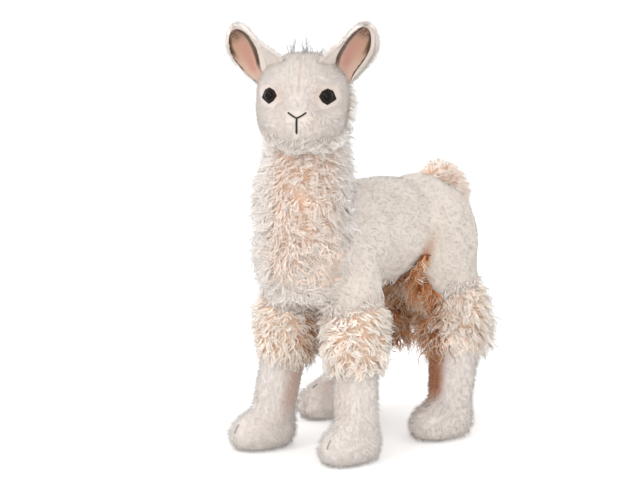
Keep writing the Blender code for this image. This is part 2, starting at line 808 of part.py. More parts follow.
def make_ear(label, side):
    """Plush outer ear, and its thin lining laid in the cup with a rim left free."""
    ear_leaf(label + "_ear", side, (0.0, 1.0), 0.0, 0.0, EAR_THICKNESS, PLUSH)
    ear_leaf(
        label + "_ear_lining",
        side,
        (0.03, 1.0 - EAR_RIM / EAR_LENGTH * 1.5),
        EAR_RIM,
        EAR_THICKNESS + SEAT_GAP,
        EAR_LINING_THICKNESS,
        LINING,
    )


# Stitching


def thread(name, points, radius, finish):
    """A round thread through the points, with closed ends."""
    points = np.array(points)
    ways = np.gradient(points, axis=0)
    angles = np.linspace(0.0, 2 * np.pi, THREAD_SIDES, endpoint=False)
    rings = []
    for point, way in zip(points, ways):
        way = Vector(way).normalized()
        side = way.orthogonal().normalized() if not rings else side - way * side.dot(way)
        side = side.normalized()
        spokes = np.outer(np.cos(angles), side) + np.outer(np.sin(angles), way.cross(side))
        rings.append(point + radius * spokes)
    return link(name, skin(rings), finish)


def make_face_stitches():
    """The nose is a shallow V of thread, and the mouth a line down from its point."""
    lift = STITCH_RADIUS + GAP
    nose_up = -MUZZLE_DROP + MUZZLE_HEIGHT * 0.18
    nose = []
    for i in range(-4, 5):
        share = abs(i) / 4
        nose.append(head_surface(i / 4 * NOSE_ARM, nose_up + NOSE_RISE * share**1.2, lift)[0])
    thread("nose_stitch", nose, STITCH_RADIUS, THREAD)
    start = nose_up - 2 * STITCH_RADIUS - GAP
    mouth = [head_surface(0.0, start - MOUTH_LENGTH * i / 5, lift)[0] for i in range(6)]
    thread("mouth_stitch", mouth, STITCH_RADIUS, THREAD)


def make_toe_stitch(name, leg):
    """A short grey stitch drawn up over the front of the foot, where the toes part."""
    top, knee, ankle, turn = leg_places(name)
    toe_way = Vector((math.sin(turn), -math.cos(turn), 0.0))
    centre = Vector((ankle[0], ankle[1], FOOT_HEIGHT * 0.45))
    centre += toe_way * (FOOT_LENGTH / 2 - ANKLE_RADIUS)
    skin_tree = BVHTree.FromPolygons(
        [v.co for v in leg.data.vertices], [p.vertices[:] for p in leg.data.polygons]
    )
    middle = HIND_TOE_PITCH if name.startswith("hind") else FRONT_TOE_PITCH
    points = []
    for i in range(5):
        pitch = middle + (i / 4 - 0.5) * TOE_STITCH_LENGTH / (FOOT_HEIGHT / 2)
        way = toe_way * math.cos(pitch) + Vector((0.0, 0.0, math.sin(pitch)))
        hit, normal, _, _ = skin_tree.ray_cast(centre + way * FOOT_LENGTH, -way)
        points.append(hit + normal * (TOE_STITCH_RADIUS + GAP))
    thread(name + "_toe_stitch", points, TOE_STITCH_RADIUS, GREY_THREAD)


def stand_on_origin():
    """Moves the toy so that the origin is under the middle of its box, on the floor."""
    bpy.context.view_layer.update()
    graph = bpy.context.evaluated_depsgraph_get()
    corners = []
    for obj in bpy.data.objects:
        if not obj.hide_render:
            corners += [v.co.copy() for v in obj.evaluated_get(graph).data.vertices]
    low = [min(c[i] for c in corners) for i in range(3)]
    high = [max(c[i] for c in corners) for i in range(3)]
    shift = Vector((-(low[0] + high[0]) / 2, -(low[1] + high[1]) / 2, -low[2]))
    for obj in bpy.data.objects:
        obj.location += shift
    print("moved to the origin by", [round(x, 5) for x in shift])


def main():
    for obj in list(bpy.data.objects):
        bpy.data.objects.remove(obj, do_unlink=True)
    torso = make_torso()
    neck = make_neck()
    for name in LEGS:
        make_toe_stitch(name, make_leg(name))
        make_band(name)
    for name in ("hind_left", "hind_right"):
        make_haunch(name)
        cut(torso, make_haunch(name, SEAT_GAP))
    bm = skin(neck_rings(TUFT_DEPTH + GAP))
    cut(torso, link("neck_seat_cutter", bm, CURLS))
    make_tail()
    cut(torso, make_tail(TUFT_DEPTH * 1.3 + GAP))
    head = make_head()
    for label, side in (("left", 1), ("right", -1)):
        make_eye(label, side, head)
        make_eyelid(label, side)
        make_ear(label, side)
    make_face_stitches()
    stand_on_origin()


main()
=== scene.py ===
# %% [markdown]
# A plush llama: short-pile plush on the body, head and lower legs, and long curly
# plush on the neck, the four legs' bands, the belly and the tail.
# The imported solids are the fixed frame. Every soft solid gets a finer piece in its place,
# worked out from the same sizes, so the new pieces lie where the solids are.

import math

import bpy
import numpy as np
from mathutils import Matrix, Vector


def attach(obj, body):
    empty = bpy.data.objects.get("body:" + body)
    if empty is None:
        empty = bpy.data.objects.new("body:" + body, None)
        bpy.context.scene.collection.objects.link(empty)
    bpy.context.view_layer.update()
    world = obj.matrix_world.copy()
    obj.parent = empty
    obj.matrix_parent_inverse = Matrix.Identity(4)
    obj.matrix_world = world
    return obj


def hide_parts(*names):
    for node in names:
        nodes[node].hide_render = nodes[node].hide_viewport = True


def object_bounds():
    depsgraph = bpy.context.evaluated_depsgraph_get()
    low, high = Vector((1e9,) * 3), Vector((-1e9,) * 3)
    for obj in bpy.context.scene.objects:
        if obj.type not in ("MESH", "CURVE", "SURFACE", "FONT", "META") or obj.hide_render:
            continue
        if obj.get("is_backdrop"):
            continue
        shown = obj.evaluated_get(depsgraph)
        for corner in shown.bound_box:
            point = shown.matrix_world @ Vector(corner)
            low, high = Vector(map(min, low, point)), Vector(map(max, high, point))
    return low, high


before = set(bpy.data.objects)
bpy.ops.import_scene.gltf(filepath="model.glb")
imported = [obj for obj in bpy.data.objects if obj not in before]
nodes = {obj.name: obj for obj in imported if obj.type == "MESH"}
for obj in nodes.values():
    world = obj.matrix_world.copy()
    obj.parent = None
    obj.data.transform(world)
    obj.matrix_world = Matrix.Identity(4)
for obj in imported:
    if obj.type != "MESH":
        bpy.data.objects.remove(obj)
cad_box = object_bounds()
scene = bpy.context.scene
print("solids in the frame:", len(nodes))

# %% [markdown]
# The llama was photographed from a little above and to its left, with a long lens:
# the far feet are hardly smaller than the near ones. The camera looks from 36 degrees
# round and 10 degrees up. The small shift places the toy where it stands in the picture.

# %% Camera
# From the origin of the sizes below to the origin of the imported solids.
SHIFT = np.array([0.0099348, -0.0549038, 0.0])
AIM = Vector((0.027, 0.0, 0.2)) + Vector(SHIFT)
DISTANCE = 3.0
AZIMUTH, ELEVATION, LENS = math.radians(36.0), math.radians(10.0), 180.0
PICTURE_WIDTH, PIXELS_LEFT, PIXELS_UP = 640, 30, 5


def add_camera(azimuth, elevation, lens):
    """A camera on a sphere round AIM: back = (sin a cos e, -cos a cos e, sin e)."""
    back = Vector(
        (
            math.sin(azimuth) * math.cos(elevation),
            -math.cos(azimuth) * math.cos(elevation),
            math.sin(elevation),
        )
    )
    data = bpy.data.cameras.new("camera")
    data.lens = lens
    data.sensor_width = 36.0
    data.clip_end = 50.0
    data.shift_x = -PIXELS_LEFT / PICTURE_WIDTH
    data.shift_y = PIXELS_UP / PICTURE_WIDTH
    camera = bpy.data.objects.new("camera", data)
    scene.collection.objects.link(camera)
    camera.location = AIM + back * DISTANCE
    camera.rotation_euler = (-back).to_track_quat("-Z", "Y").to_euler()
    scene.camera = camera
    return camera


camera = add_camera(AZIMUTH, ELEVATION, LENS)
scene.view_settings.view_transform = "Standard"
print("camera at", [round(x, 3) for x in camera.location])

# %% [markdown]
# The sizes of the toy, in metres, as the solids have them. Every shape below is
# a function of these, so a piece and the solid that it stands for agree.

# %% Sizes
FOOT_LENGTH, FOOT_WIDTH, FOOT_HEIGHT = 0.066, 0.046, 0.036
TOE_STITCH_LENGTH = 0.0054
ANKLE_RADIUS, LEG_RADIUS, HOCK_RADIUS = 0.0195, 0.0205, 0.0245
BAND_HEIGHT, BAND_RADIUS, BAND_END_RADIUS = 0.064, 0.0320, 0.0235
BAND_SLANT, HOCK_BACK = 0.45, 0.007
FRONT_LEG_Y, WHEELBASE = -0.008, 0.162
HIND_LEG_Y = FRONT_LEG_Y + WHEELBASE
BAND_TOP = 0.085 + BAND_HEIGHT
TORSO_WIDTH, TORSO_DEPTH, TORSO_RISE = 0.104, 0.110, 0.044
CHEST_REACH, RUMP_REACH = 0.072, 0.030
TORSO_CENTRE_Z = BAND_TOP + TORSO_RISE
TORSO_TOP_Z = TORSO_CENTRE_Z + TORSO_DEPTH / 2
HAUNCH_RADII = np.array([0.030, 0.044, 0.058])
TAIL_LENGTH, TAIL_RADIUS = 0.070, 0.0175
NECK_Y = FRONT_LEG_Y - 0.035
NECK_LEAN, NECK_RADIUS, NECK_TOP_RADIUS, NECK_BOTTOM_RADIUS = 0.014, 0.0445, 0.0320, 0.030
HEAD_YAW, HEAD_PITCH = math.radians(31.0), math.radians(-3.0)
HEAD_Z = TORSO_TOP_Z + 0.0965
SKULL = np.array([0.084, 0.076, 0.076])
MUZZLE_WIDTH, MUZZLE_HEIGHT, MUZZLE_REACH, MUZZLE_DROP = 0.062, 0.048, 0.062, 0.018
NECK_TOP_Z = HEAD_Z + SKULL[2] * 0.12
FACE_FORWARD = np.array([math.sin(HEAD_YAW), -math.cos(HEAD_YAW), 0.0])
HEAD_CENTRE = np.array([0.0, NECK_Y + 0.012, HEAD_Z]) + FACE_FORWARD * 0.032
HEAD_AXES = np.array(Matrix.Rotation(HEAD_YAW, 3, "Z") @ Matrix.Rotation(-HEAD_PITCH, 3, "X"))
LEGS = {
    "front_left": (1, (0.039, FRONT_LEG_Y, 0.085), (0.010, -0.012), math.radians(0.0)),
    "front_right": (-1, (0.039, FRONT_LEG_Y, 0.085), (0.013, -0.012), math.radians(10.0)),
    "hind_left": (1, (0.040, HIND_LEG_Y, 0.080), (0.022, -0.040), math.radians(-8.0)),
    "hind_right": (-1, (0.040, HIND_LEG_Y, 0.080), (0.040, -0.032), math.radians(6.0)),
}
print("head centre", np.round(HEAD_CENTRE + SHIFT, 4), "back at", round(TORSO_TOP_Z, 4))

# %% [markdown]
# A stuffed section has no flat place: pressure from the filling rounds it, and where
# two sections meet the plush bridges the corner. Such a form is described well by a
# field, a number at each point that is negative inside, and a blend that rounds the
# place where two fields meet. The skin is then found by rays that leave the inside.

# %% Fields and skins
X_AXIS, Y_AXIS, Z_AXIS = np.eye(3)


def unit(vectors):
    """Each vector divided by its length."""
    return vectors / np.maximum(np.linalg.norm(vectors, axis=-1, keepdims=True), 1e-12)


def ellipsoid(points, centre, radii):
    """Near-distance k(k-1)/|grad| to an ellipsoid, where k is the scaled radius."""
    offset = points - np.asarray(centre)
    near = np.linalg.norm(offset / radii, axis=-1)
    slope = np.linalg.norm(offset / np.square(radii), axis=-1)
    return near * (near - 1.0) / np.maximum(slope, 1e-9)


def rod(points, start, end, start_radius, end_radius):
    """Distance to the nearest point of a line, less a radius that runs between two values."""
    start, end = np.asarray(start), np.asarray(end)
    along = np.clip((points - start) @ (end - start) / np.dot(end - start, end - start), 0, 1)
    axis_point = start + along[..., None] * (end - start)
    return np.linalg.norm(points - axis_point, axis=-1) - (
        start_radius + along * (end_radius - start_radius)
    )


def blend(first, second, width):
    """Smooth union: the lesser field, rounded by width s(1-s) where the two are close."""
    share = np.clip(0.5 + 0.5 * (second - first) / width, 0.0, 1.0)
    return second + (first - second) * share - width * share * (1.0 - share)


def turned_about_z(points, centre, angle):
    """The points in a frame at centre, turned by angle about Z."""
    offset = points - np.asarray(centre)
    c, s = math.cos(angle), math.sin(angle)
    return np.stack(
        [
            c * offset[..., 0] + s * offset[..., 1],
            -s * offset[..., 0] + c * offset[..., 1],
            offset[..., 2],
        ],
        axis=-1,
    )


def cast(field, origins, directions, reach):
    """Where each ray last leaves the solid: sixty steps out, then halving."""
    steps = np.linspace(0.0, reach, 60)
    low = np.zeros(len(origins))
    for step in steps:
        low = np.where(field(origins + step * directions) < 0, step, low)
    high = low + steps[1]
    for _ in range(16):
        middle = (low + high) / 2
        within = field(origins + middle[:, None] * directions) < 0
        low, high = np.where(within, middle, low), np.where(within, high, middle)
    return origins + low[:, None] * directions


def outward(field, points):
    """The field's gradient by central differences, as a unit normal."""
    step = 2e-4
    parts = [field(points + step * a) - field(points - step * a) for a in (X_AXIS, Y_AXIS, Z_AXIS)]
    return unit(np.stack(parts, axis=-1))


def skin_grid(field, start, end, columns, rings, across, reach):
    """Rings cast from a line, crowding as cosines do towards the pole at each end."""
    start, end = np.array(start, float), np.array(end, float)
    along = unit(end - start)
    first = cast(field, start[None], -along[None], reach)[0]
    last = cast(field, end[None], along[None], reach)[0]
    shares = (0.5 - 0.5 * np.cos(np.pi * np.linspace(0, 1, rings + 2)))[1:-1]
    angles = np.linspace(0.0, 2 * np.pi, columns, endpoint=False)
    spokes = np.outer(np.cos(angles), across[0]) + np.outer(np.sin(angles), across[1])
    origins = np.repeat(first + shares[:, None] * (last - first), columns, axis=0)
    hits = cast(field, origins, np.tile(spokes, (rings, 1)), reach)
    return hits.reshape(rings, columns, 3), first, last


# %% [markdown]
# Numpy works out where the points go, and one helper puts them into a mesh. It measures
# the enclosed volume and turns the faces round where that comes out negative, so each
# closed piece faces outwards.

# %% Meshes from arrays


def triangles_of(faces):
    """All faces as one array of triangles: each quad is split along a diagonal."""
    return np.concatenate(
        [f if f.shape[1] == 3 else np.concatenate([f[:, :3], f[:, [0, 2, 3]]]) for f in faces]
    )


def make_object(name, points, faces, finish, uv=None, lean=None):
    """One mesh object from a point array and a list of face arrays (triangles and quads).

    lean is an optional normal for each point, which the shading then uses.
    """
    points = np.asarray(points, float).reshape(-1, 3) + SHIFT
    triangles = triangles_of(faces)
    a, b, c = (points[triangles[:, i]] for i in range(3))
    if np.einsum("ij,ij->i", a, np.cross(b, c)).sum() < 0:
        faces = [f[:, ::-1] for f in faces]
    corners = np.concatenate([f.ravel() for f in faces]).astype(np.int32)
    sizes = np.concatenate([np.full(len(f), f.shape[1]) for f in faces])
    mesh = bpy.data.meshes.new(name)
    mesh.vertices.add(len(points))
    mesh.vertices.foreach_set("co", points.astype(np.float32).ravel())
    mesh.loops.add(len(corners))
    mesh.loops.foreach_set("vertex_index", corners)
    mesh.polygons.add(len(sizes))
    starts = np.concatenate([[0], np.cumsum(sizes)[:-1]]).astype(np.int32)
    mesh.polygons.foreach_set("loop_start", starts)
    mesh.update(calc_edges=True)
    if uv is not None:
        layer = mesh.uv_layers.new(name="Strand")
        layer.data.foreach_set("uv", np.asarray(uv, np.float32)[corners].ravel())
    mesh.polygons.foreach_set("use_smooth", np.full(len(sizes), True))
    mesh.validate()
    mesh.update()
    if lean is not None:
        mesh.normals_split_custom_set_from_vertices(np.asarray(lean, float).tolist())
    obj = bpy.data.objects.new(name, mesh)
    scene.collection.objects.link(obj)
    mesh.materials.append(finish)
    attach(obj, "root")
    print(name, "triangles:", int((sizes - 2).sum()))
    return obj


def skin_faces(rings, columns):
    """Quads between rings, and a fan of triangles to the pole at each end."""
    index = np.arange(rings * columns).reshape(rings, columns)
    after = np.roll(index, -1, axis=1)
    quads = np.stack([index[:-1], after[:-1], after[1:], index[1:]], axis=-1).reshape(-1, 4)
    first = np.full(columns, rings * columns)
    low = np.stack([after[0], index[0], first], axis=-1)
    high = np.stack([index[-1], after[-1], first + 1], axis=-1)
    return [quads, np.concatenate([low, high])]


def make_skin(name, grid, first, last, finish, tint=None):
    """A closed skin from a grid of rings and two poles.

    tint is a function of the points. It gives U of the skin's map, and V is nought.
    """
    rings, columns = grid.shape[:2]
    points = np.concatenate([grid.reshape(-1, 3), [first, last]])
    uv = None if tint is None else np.stack([tint(points), np.zeros(len(points))], axis=-1)
    return make_object(name, points, skin_faces(rings, columns), finish, uv)


# %% [markdown]
# Both plushes are dyed cream fibres. The short pile shows a fine nap and soft cloudy
# patches where it was brushed another way, with painted shade in its hollows. The long
# curls are pale at their tips and tan at their roots, and that tan is painted shade for
# the depth of the fur. Two node groups hold those effects, and each material gives
# its own values.

# %% Node groups


def new_group(name, inputs, outputs):
    """A shader node group with the given sockets: (name, type, value) and (name, type)."""
    group = bpy.data.node_groups.new(name, "ShaderNodeTree")
    for label, kind, value in inputs:
        socket = group.interface.new_socket(label, in_out="INPUT", socket_type=kind)
        if value is not None:
            socket.default_value = value
    for label, kind in outputs:
        group.interface.new_socket(label, in_out="OUTPUT", socket_type=kind)
    return group, group.nodes.new("NodeGroupInput"), group.nodes.new("NodeGroupOutput")


def mix_colour(tree, factor, first, second):
    """A colour mix node. Each argument is a socket or a plain value."""
    node = tree.nodes.new("ShaderNodeMix")
    node.data_type = "RGBA"
    for index, value in ((0, factor), (6, first), (7, second)):
        if isinstance(value, bpy.types.NodeSocket):
            tree.links.new(value, node.inputs[index])
        else:
            node.inputs[index].default_value = value
    return node.outputs[2]


def ramp(tree, value, low, high, out_low=0.0, out_high=1.0):
    """A smooth step of a value between two limits."""
    node = tree.nodes.new("ShaderNodeMapRange")
    node.interpolation_type = "SMOOTHSTEP"
    tree.links.new(value, node.inputs["Value"])
    for label, number in (
        ("From Min", low),
        ("From Max", high),
        ("To Min", out_low),
        ("To Max", out_high),
    ):
        node.inputs[label].default_value = number
    return node.outputs["Result"]


def noise(tree, vector, scale, detail=3.0, roughness=0.5):
    """A noise texture's value at a vector."""
    node = tree.nodes.new("ShaderNodeTexNoise")
    tree.links.new(vector, node.inputs["Vector"])
    node.inputs["Scale"].default_value = scale
    node.inputs["Detail"].default_value = detail
    node.inputs["Roughness"].default_value = roughness
    return node.outputs["Fac"]


# %% [markdown]
# The first group is for the skins under the short pile, and the second for every strand.
# A strand carries its own tone and its own length on a UV map, so one material serves
# thousands of them.

# %% The two groups


def nap_group():
    """Short pile: colour in cloudy patches, painted shade in its hollows, and a height of fine fibre
    ends.
    """
    group, source, result = new_group(
        "short_nap",
        [
            ("Vector", "NodeSocketVector", None),
            ("Pale", "NodeSocketColor", (0.8, 0.7, 0.6, 1)),
            ("Deep", "NodeSocketColor", (0.6, 0.5, 0.4, 1)),
        ],
        [("Colour", "NodeSocketColor"), ("Height", "NodeSocketFloat")],
    )
    where = source.outputs["Vector"]
    clouds = ramp(group, noise(group, where, 42.0, 4.0, 0.6), 0.36, 0.66)
    fibres = noise(group, where, 1100.0, 2.0, 0.6)
    tufts = noise(group, where, 340.0, 3.0, 0.6)
    shade = mix_colour(group, clouds, source.outputs["Deep"], source.outputs["Pale"])
    # Painted shade: where the tufts' height is low, the colour goes towards the deep tone.
    hollow_shade = ramp(group, tufts, 0.30, 0.52, 0.30, 0.0)
    dark = mix_colour(group, hollow_shade, shade, source.outputs["Deep"])
    add = group.nodes.new("ShaderNodeMath")
    add.operation = "MULTIPLY_ADD"
    group.links.new(tufts, add.inputs[0])
    add.inputs[1].default_value = 1.6
    group.links.new(fibres, add.inputs[2])
    group.links.new(dark, result.inputs["Colour"])
    group.links.new(add.outputs[0], result.inputs["Height"])
    return group


def strand_group():
    """Long fibres: U is a strand's own tone, and V runs from its root to its tip; the darker colour
    at the root is painted shade.
    """
    group, source, result = new_group(
        "strand_tone",
        [
            ("Vector", "NodeSocketVector", None),
            ("Root", "NodeSocketColor", (0.4, 0.2, 0.1, 1)),
            ("Middle", "NodeSocketColor", (0.8, 0.6, 0.5, 1)),
            ("Tip", "NodeSocketColor", (0.9, 0.85, 0.8, 1)),
        ],
        [("Colour", "NodeSocketColor")],
    )
    split = group.nodes.new("ShaderNodeSeparateXYZ")
    group.links.new(source.outputs["Vector"], split.inputs[0])
    tone, along = split.outputs["X"], split.outputs["Y"]
    # Painted shade: each strand is darker and warmer towards its root, deep in the fur.
    low = mix_colour(
        group, ramp(group, along, 0.0, 0.42), source.outputs["Root"], source.outputs["Middle"]
    )
    whole = mix_colour(group, ramp(group, along, 0.30, 0.85), low, source.outputs["Tip"])
    deeper = ramp(group, tone, 0.55, 1.0, 0.0, 0.55)
    toned = mix_colour(group, deeper, whole, source.outputs["Middle"])
    group.links.new(toned, result.inputs["Colour"])
    return group


NAP, STRAND = nap_group(), strand_group()
print("node groups:", NAP.name, STRAND.name)

# %% [markdown]
# Each finish is one material. Cloth fibres scatter light at grazing angles, which is
# what the sheen of the shader is for, and its constant values are set on the shader.

# %% Plush materials


def new_material(name, roughness, sheen=0.0, sheen_roughness=0.5):
    """A material with its Principled shader, and the constant values of that shader."""
    finish = bpy.data.materials.new(name)
    finish.use_nodes = True
    shader = finish.node_tree.nodes["Principled BSDF"]
    shader.inputs["Roughness"].default_value = roughness
    shader.inputs["Sheen Weight"].default_value = sheen
    shader.inputs["Sheen Roughness"].default_value = sheen_roughness
    shader.inputs["Specular IOR Level"].default_value = 0.25
    return finish, finish.node_tree, shader


def group_node(tree, group, **values):
    """A group placed in a material with its own input values."""
    node = tree.nodes.new("ShaderNodeGroup")
    node.node_tree = group
    for label, value in values.items():
        node.inputs[label].default_value = value
    return node


def add_relief(tree, shader, height, strength, distance):
    """A bump from a height socket, wired to the shader's normal."""
    relief = tree.nodes.new("ShaderNodeBump")
    relief.inputs["Strength"].default_value = strength
    relief.inputs["Distance"].default_value = distance
    tree.links.new(height, relief.inputs["Height"])
    tree.links.new(relief.outputs["Normal"], shader.inputs["Normal"])


def map_shares(tree):
    """U and V of the piece's own map, as two sockets."""
    where = tree.nodes.new("ShaderNodeUVMap")
    where.uv_map = "Strand"
    split = tree.nodes.new("ShaderNodeSeparateXYZ")
    tree.links.new(where.outputs["UV"], split.inputs[0])
    return split.outputs["X"], split.outputs["Y"]


def plush(name, pale, deep, relief=0.35, tint=None):
    """Short-pile plush on Object coordinates. U of the piece's map mixes in the tint."""
    finish, tree, shader = new_material(name, 0.92, 0.25, 0.6)
    where = tree.nodes.new("ShaderNodeTexCoord").outputs["Object"]
    nap = group_node(tree, NAP, Pale=(*pale, 1), Deep=(*deep, 1))
    tree.links.new(where, nap.inputs["Vector"])
    colour = nap.outputs["Colour"]
    if tint:
        colour = mix_colour(tree, map_shares(tree)[0], colour, (*tint, 1))
    tree.links.new(colour, shader.inputs["Base Color"])
    add_relief(tree, shader, nap.outputs["Height"], relief, 0.0006)
    return finish


def strands(name, root, middle, tip):
    """Long fibres, coloured along their length by the strand's own UV map."""
    finish, tree, shader = new_material(name, 0.75, 0.10, 0.5)
    shader.subsurface_method = "BURLEY"
    shader.inputs["Subsurface Weight"].default_value = 0.5
    shader.inputs["Subsurface Radius"].default_value = (1.0, 1.0, 1.0)
    shader.inputs["Subsurface Scale"].default_value = 0.003
    where = tree.nodes.new("ShaderNodeUVMap")
    where.uv_map = "Strand"
    tone = group_node(tree, STRAND, Root=(*root, 1), Middle=(*middle, 1), Tip=(*tip, 1))
    tree.links.new(where.outputs["UV"], tone.inputs["Vector"])
    tree.links.new(tone.outputs["Colour"], shader.inputs["Base Color"])
    return finish


# %% [markdown]
# Now the toy's finishes. The strands' colours go from root to middle to tip: peach or brown
# low down, as painted shade for the depth of the fur, cream above, and nearly white at the
# tip. The face and the ears have a more even pile than the body and the legs.

# %% Finishes of the toy
# The tints of the body, leg and head plush are painted shade: brown in the body's folds and on the
# legs' inner sides, and warm in the face's hollows.
BODY_PLUSH = plush(
    "body_plush", (0.75, 0.675, 0.605), (0.695, 0.615, 0.545), tint=(0.42, 0.17, 0.07)
)
LEG_PLUSH = plush("leg_plush", (0.80, 0.73, 0.685), (0.75, 0.675, 0.625), tint=(0.36, 0.13, 0.05))
HEAD_PLUSH = plush("head_plush", (0.73, 0.66, 0.61), (0.69, 0.62, 0.57), tint=(0.60, 0.36, 0.25))
EAR_PLUSH = plush("ear_plush", (0.73, 0.66, 0.60), (0.66, 0.58, 0.52))
PILE = strands("pile_fibres", (0.60, 0.52, 0.46), (0.76, 0.69, 0.63), (0.92, 0.875, 0.835))
# A paler copy of the pile for the front legs, as painted light; the hind legs keep the darker body
# pile, as painted shade.
LIT_LEG_PILE = strands("lit_leg_fibres", (0.66, 0.58, 0.53), (0.81, 0.75, 0.70), (0.95, 0.92, 0.89))
HEAD_PILE = strands("face_fibres", (0.64, 0.56, 0.51), (0.71, 0.64, 0.59), (0.80, 0.74, 0.69))
EAR_PILE = strands("ear_fibres", (0.62, 0.55, 0.50), (0.70, 0.63, 0.58), (0.80, 0.74, 0.70))
FRINGE = strands("fringe_curls", (0.90, 0.78, 0.67), (0.96, 0.90, 0.84), (0.99, 0.97, 0.94))
WISPS = strands("wisp_fibres", (0.50, 0.50, 0.50), (0.56, 0.57, 0.57), (0.66, 0.68, 0.69))
# The tan backings and the strands' darker roots are painted shade for the depth of the fur. The brown
# backing and the brown and tan curls are painted shade on inner sides and under the belly.
UNDERCOAT = plush("curl_undercoat", (0.95, 0.74, 0.59), (0.91, 0.64, 0.47), 0.8, (0.80, 0.72, 0.66))
BROWN_UNDERCOAT = plush("brown_undercoat", (0.45, 0.16, 0.05), (0.22, 0.07, 0.02), 0.8)
NECK_CURLS = strands("neck_curls", (0.93, 0.62, 0.45), (0.94, 0.75, 0.63), (0.95, 0.87, 0.80))
PALE_CURLS = strands("pale_curls", (0.90, 0.76, 0.66), (0.92, 0.83, 0.76), (0.95, 0.90, 0.86))
BAND_CURLS = strands("band_curls", (0.95, 0.65, 0.47), (0.96, 0.81, 0.68), (0.97, 0.92, 0.86))
TAN_CURLS = strands("tan_curls", (0.50, 0.17, 0.06), (0.80, 0.48, 0.28), (0.96, 0.87, 0.77))
BROWN_CURLS = strands("brown_curls", (0.20, 0.045, 0.011), (0.52, 0.165, 0.045), (0.80, 0.44, 0.22))
print("finishes:", len(bpy.data.materials))

# %% [markdown]
# The neck's fur runs from the nape and the chin down to a rounded bib between the front
# legs. Rings round a leaning axis give its shape. Its pile is brushed down and outwards.

# %% Neck shape
FUR_DEPTH = 0.0080
NECK_STATIONS = np.array([0.0, 0.12, 0.30, 0.50, 0.68, 0.84, 0.94, 1.0])
NECK_RADII = np.array(
    [
        NECK_BOTTOM_RADIUS * 0.55,
        NECK_BOTTOM_RADIUS * 1.15,
        NECK_RADIUS * 0.95,
        NECK_RADIUS,
        NECK_RADIUS * 0.90,
        NECK_TOP_RADIUS,
        NECK_TOP_RADIUS * 0.84,
        NECK_TOP_RADIUS * 0.35,
    ]
)
NECK_FOOT_Z = BAND_TOP + 0.010
BIB_DEPTH = 0.0055


def neck_radius(share):
    """The radius read from straight lines through the stations, then softened."""
    spread = np.linspace(-0.05, 0.05, 7)
    reads = [np.interp(np.clip(share + s, 0, 1), NECK_STATIONS, NECK_RADII) for s in spread]
    return np.mean(reads, axis=0)


def neck_point(share, angle, inset):
    """A point of the neck: axis + (R(s) - inset) (cos a, sin a, 0)."""
    radius = np.maximum(neck_radius(share) - inset, 0.004)
    axis_y = NECK_Y + NECK_LEAN * share**1.3
    height = NECK_FOOT_Z + share * (NECK_TOP_Z - NECK_FOOT_Z)
    return np.stack(
        [radius * np.cos(angle), axis_y + radius * np.sin(angle), height], axis=-1
    )


def neck_field(points):
    """Level distance to the neck's barrel, or the height below its foot if that is more."""
    share = np.clip((points[..., 2] - NECK_FOOT_Z) / (NECK_TOP_Z - NECK_FOOT_Z), 0.0, 1.0)
    axis_y = NECK_Y + NECK_LEAN * share**1.3
    level = np.hypot(points[..., 0], points[..., 1] - axis_y) - neck_radius(share)
    return np.maximum(level, NECK_FOOT_Z - points[..., 2])


print("neck from", round(NECK_FOOT_Z, 4), "to", round(NECK_TOP_Z, 4))

# %% [markdown]
# The body is one skin: chest, middle and rump with a shoulder over each front leg and
# a thigh over each hind leg. On the toy these are sewn panels over one filling, so the
# thigh's upper edge melts into the rump, and its lower front leaves a soft crease.

# %% Body form


def leg_places(name):
    """Top centre, band foot and ankle of a leg, and the turn of its foot."""
    side, (hip, top_y, leg_height), (step_out, step_y), toe_out = LEGS[name]
    top_z = leg_height + BAND_HEIGHT
    top = np.array([side * hip, top_y, top_z])
    ankle = np.array([side * (hip + step_out), top_y + step_y, FOOT_HEIGHT / 2])
    knee = top + BAND_HEIGHT / (top_z - FOOT_HEIGHT / 2) * (ankle - top)
    knee[:2] = top[:2] + BAND_SLANT * (knee[:2] - top[:2])
    if name.startswith("hind"):
        knee[1] += HOCK_BACK
    return top, knee, ankle, side * toe_out


def thigh_field(points, name):
    """An upright flattened egg over a hind leg, joined to a short shank below it."""
    top = leg_places(name)[0]
    side = LEGS[name][0]
    centre = top + np.array([-side * 0.006, -0.012, HAUNCH_RADII[2] * 0.62])
    thigh = ellipsoid(points, centre, HAUNCH_RADII)
    shank = rod(points, top, centre, BAND_END_RADIUS, BAND_END_RADIUS * 0.8)
    return blend(thigh, shank, 0.010)


def torso_field(points):
    """Chest, middle and rump ellipsoids, and a shoulder over each front leg."""
    half = np.array([TORSO_WIDTH, 0.0, TORSO_DEPTH]) / 2
    chest = ellipsoid(points, (0, FRONT_LEG_Y, TORSO_CENTRE_Z + 0.002), half + (0, CHEST_REACH, 0))
    middle = ellipsoid(
        points,
        (0, FRONT_LEG_Y + WHEELBASE * 0.50, TORSO_CENTRE_Z + 0.008),
        half * (0.94, 1, 0.92) + (0, WHEELBASE * 0.62, 0),
    )
    rump = ellipsoid(
        points, (0, HIND_LEG_Y, TORSO_CENTRE_Z + 0.006), half * (0.92, 1, 0.84) + (0, RUMP_REACH, 0)
    )
    body = blend(blend(chest, middle, 0.02), rump, 0.02)
    for side in (-1, 1):
        shoulder = ellipsoid(
            points, (side * 0.036, FRONT_LEG_Y, BAND_TOP + 0.012), np.array([0.026, 0.030, 0.040])
        )
        body = blend(body, shoulder, 0.012)
    return body


def body_field(points):
    """The torso with its two thighs, and the chest drawn in under the neck's bib."""
    body = torso_field(points)
    for name in ("hind_left", "hind_right"):
        body = blend(body, thigh_field(points, name), 0.009)
    under_bib = np.clip(0.5 - neck_field(points) / 0.010, 0.0, 1.0)
    return body + BIB_DEPTH * under_bib * under_bib * (3.0 - 2.0 * under_bib)


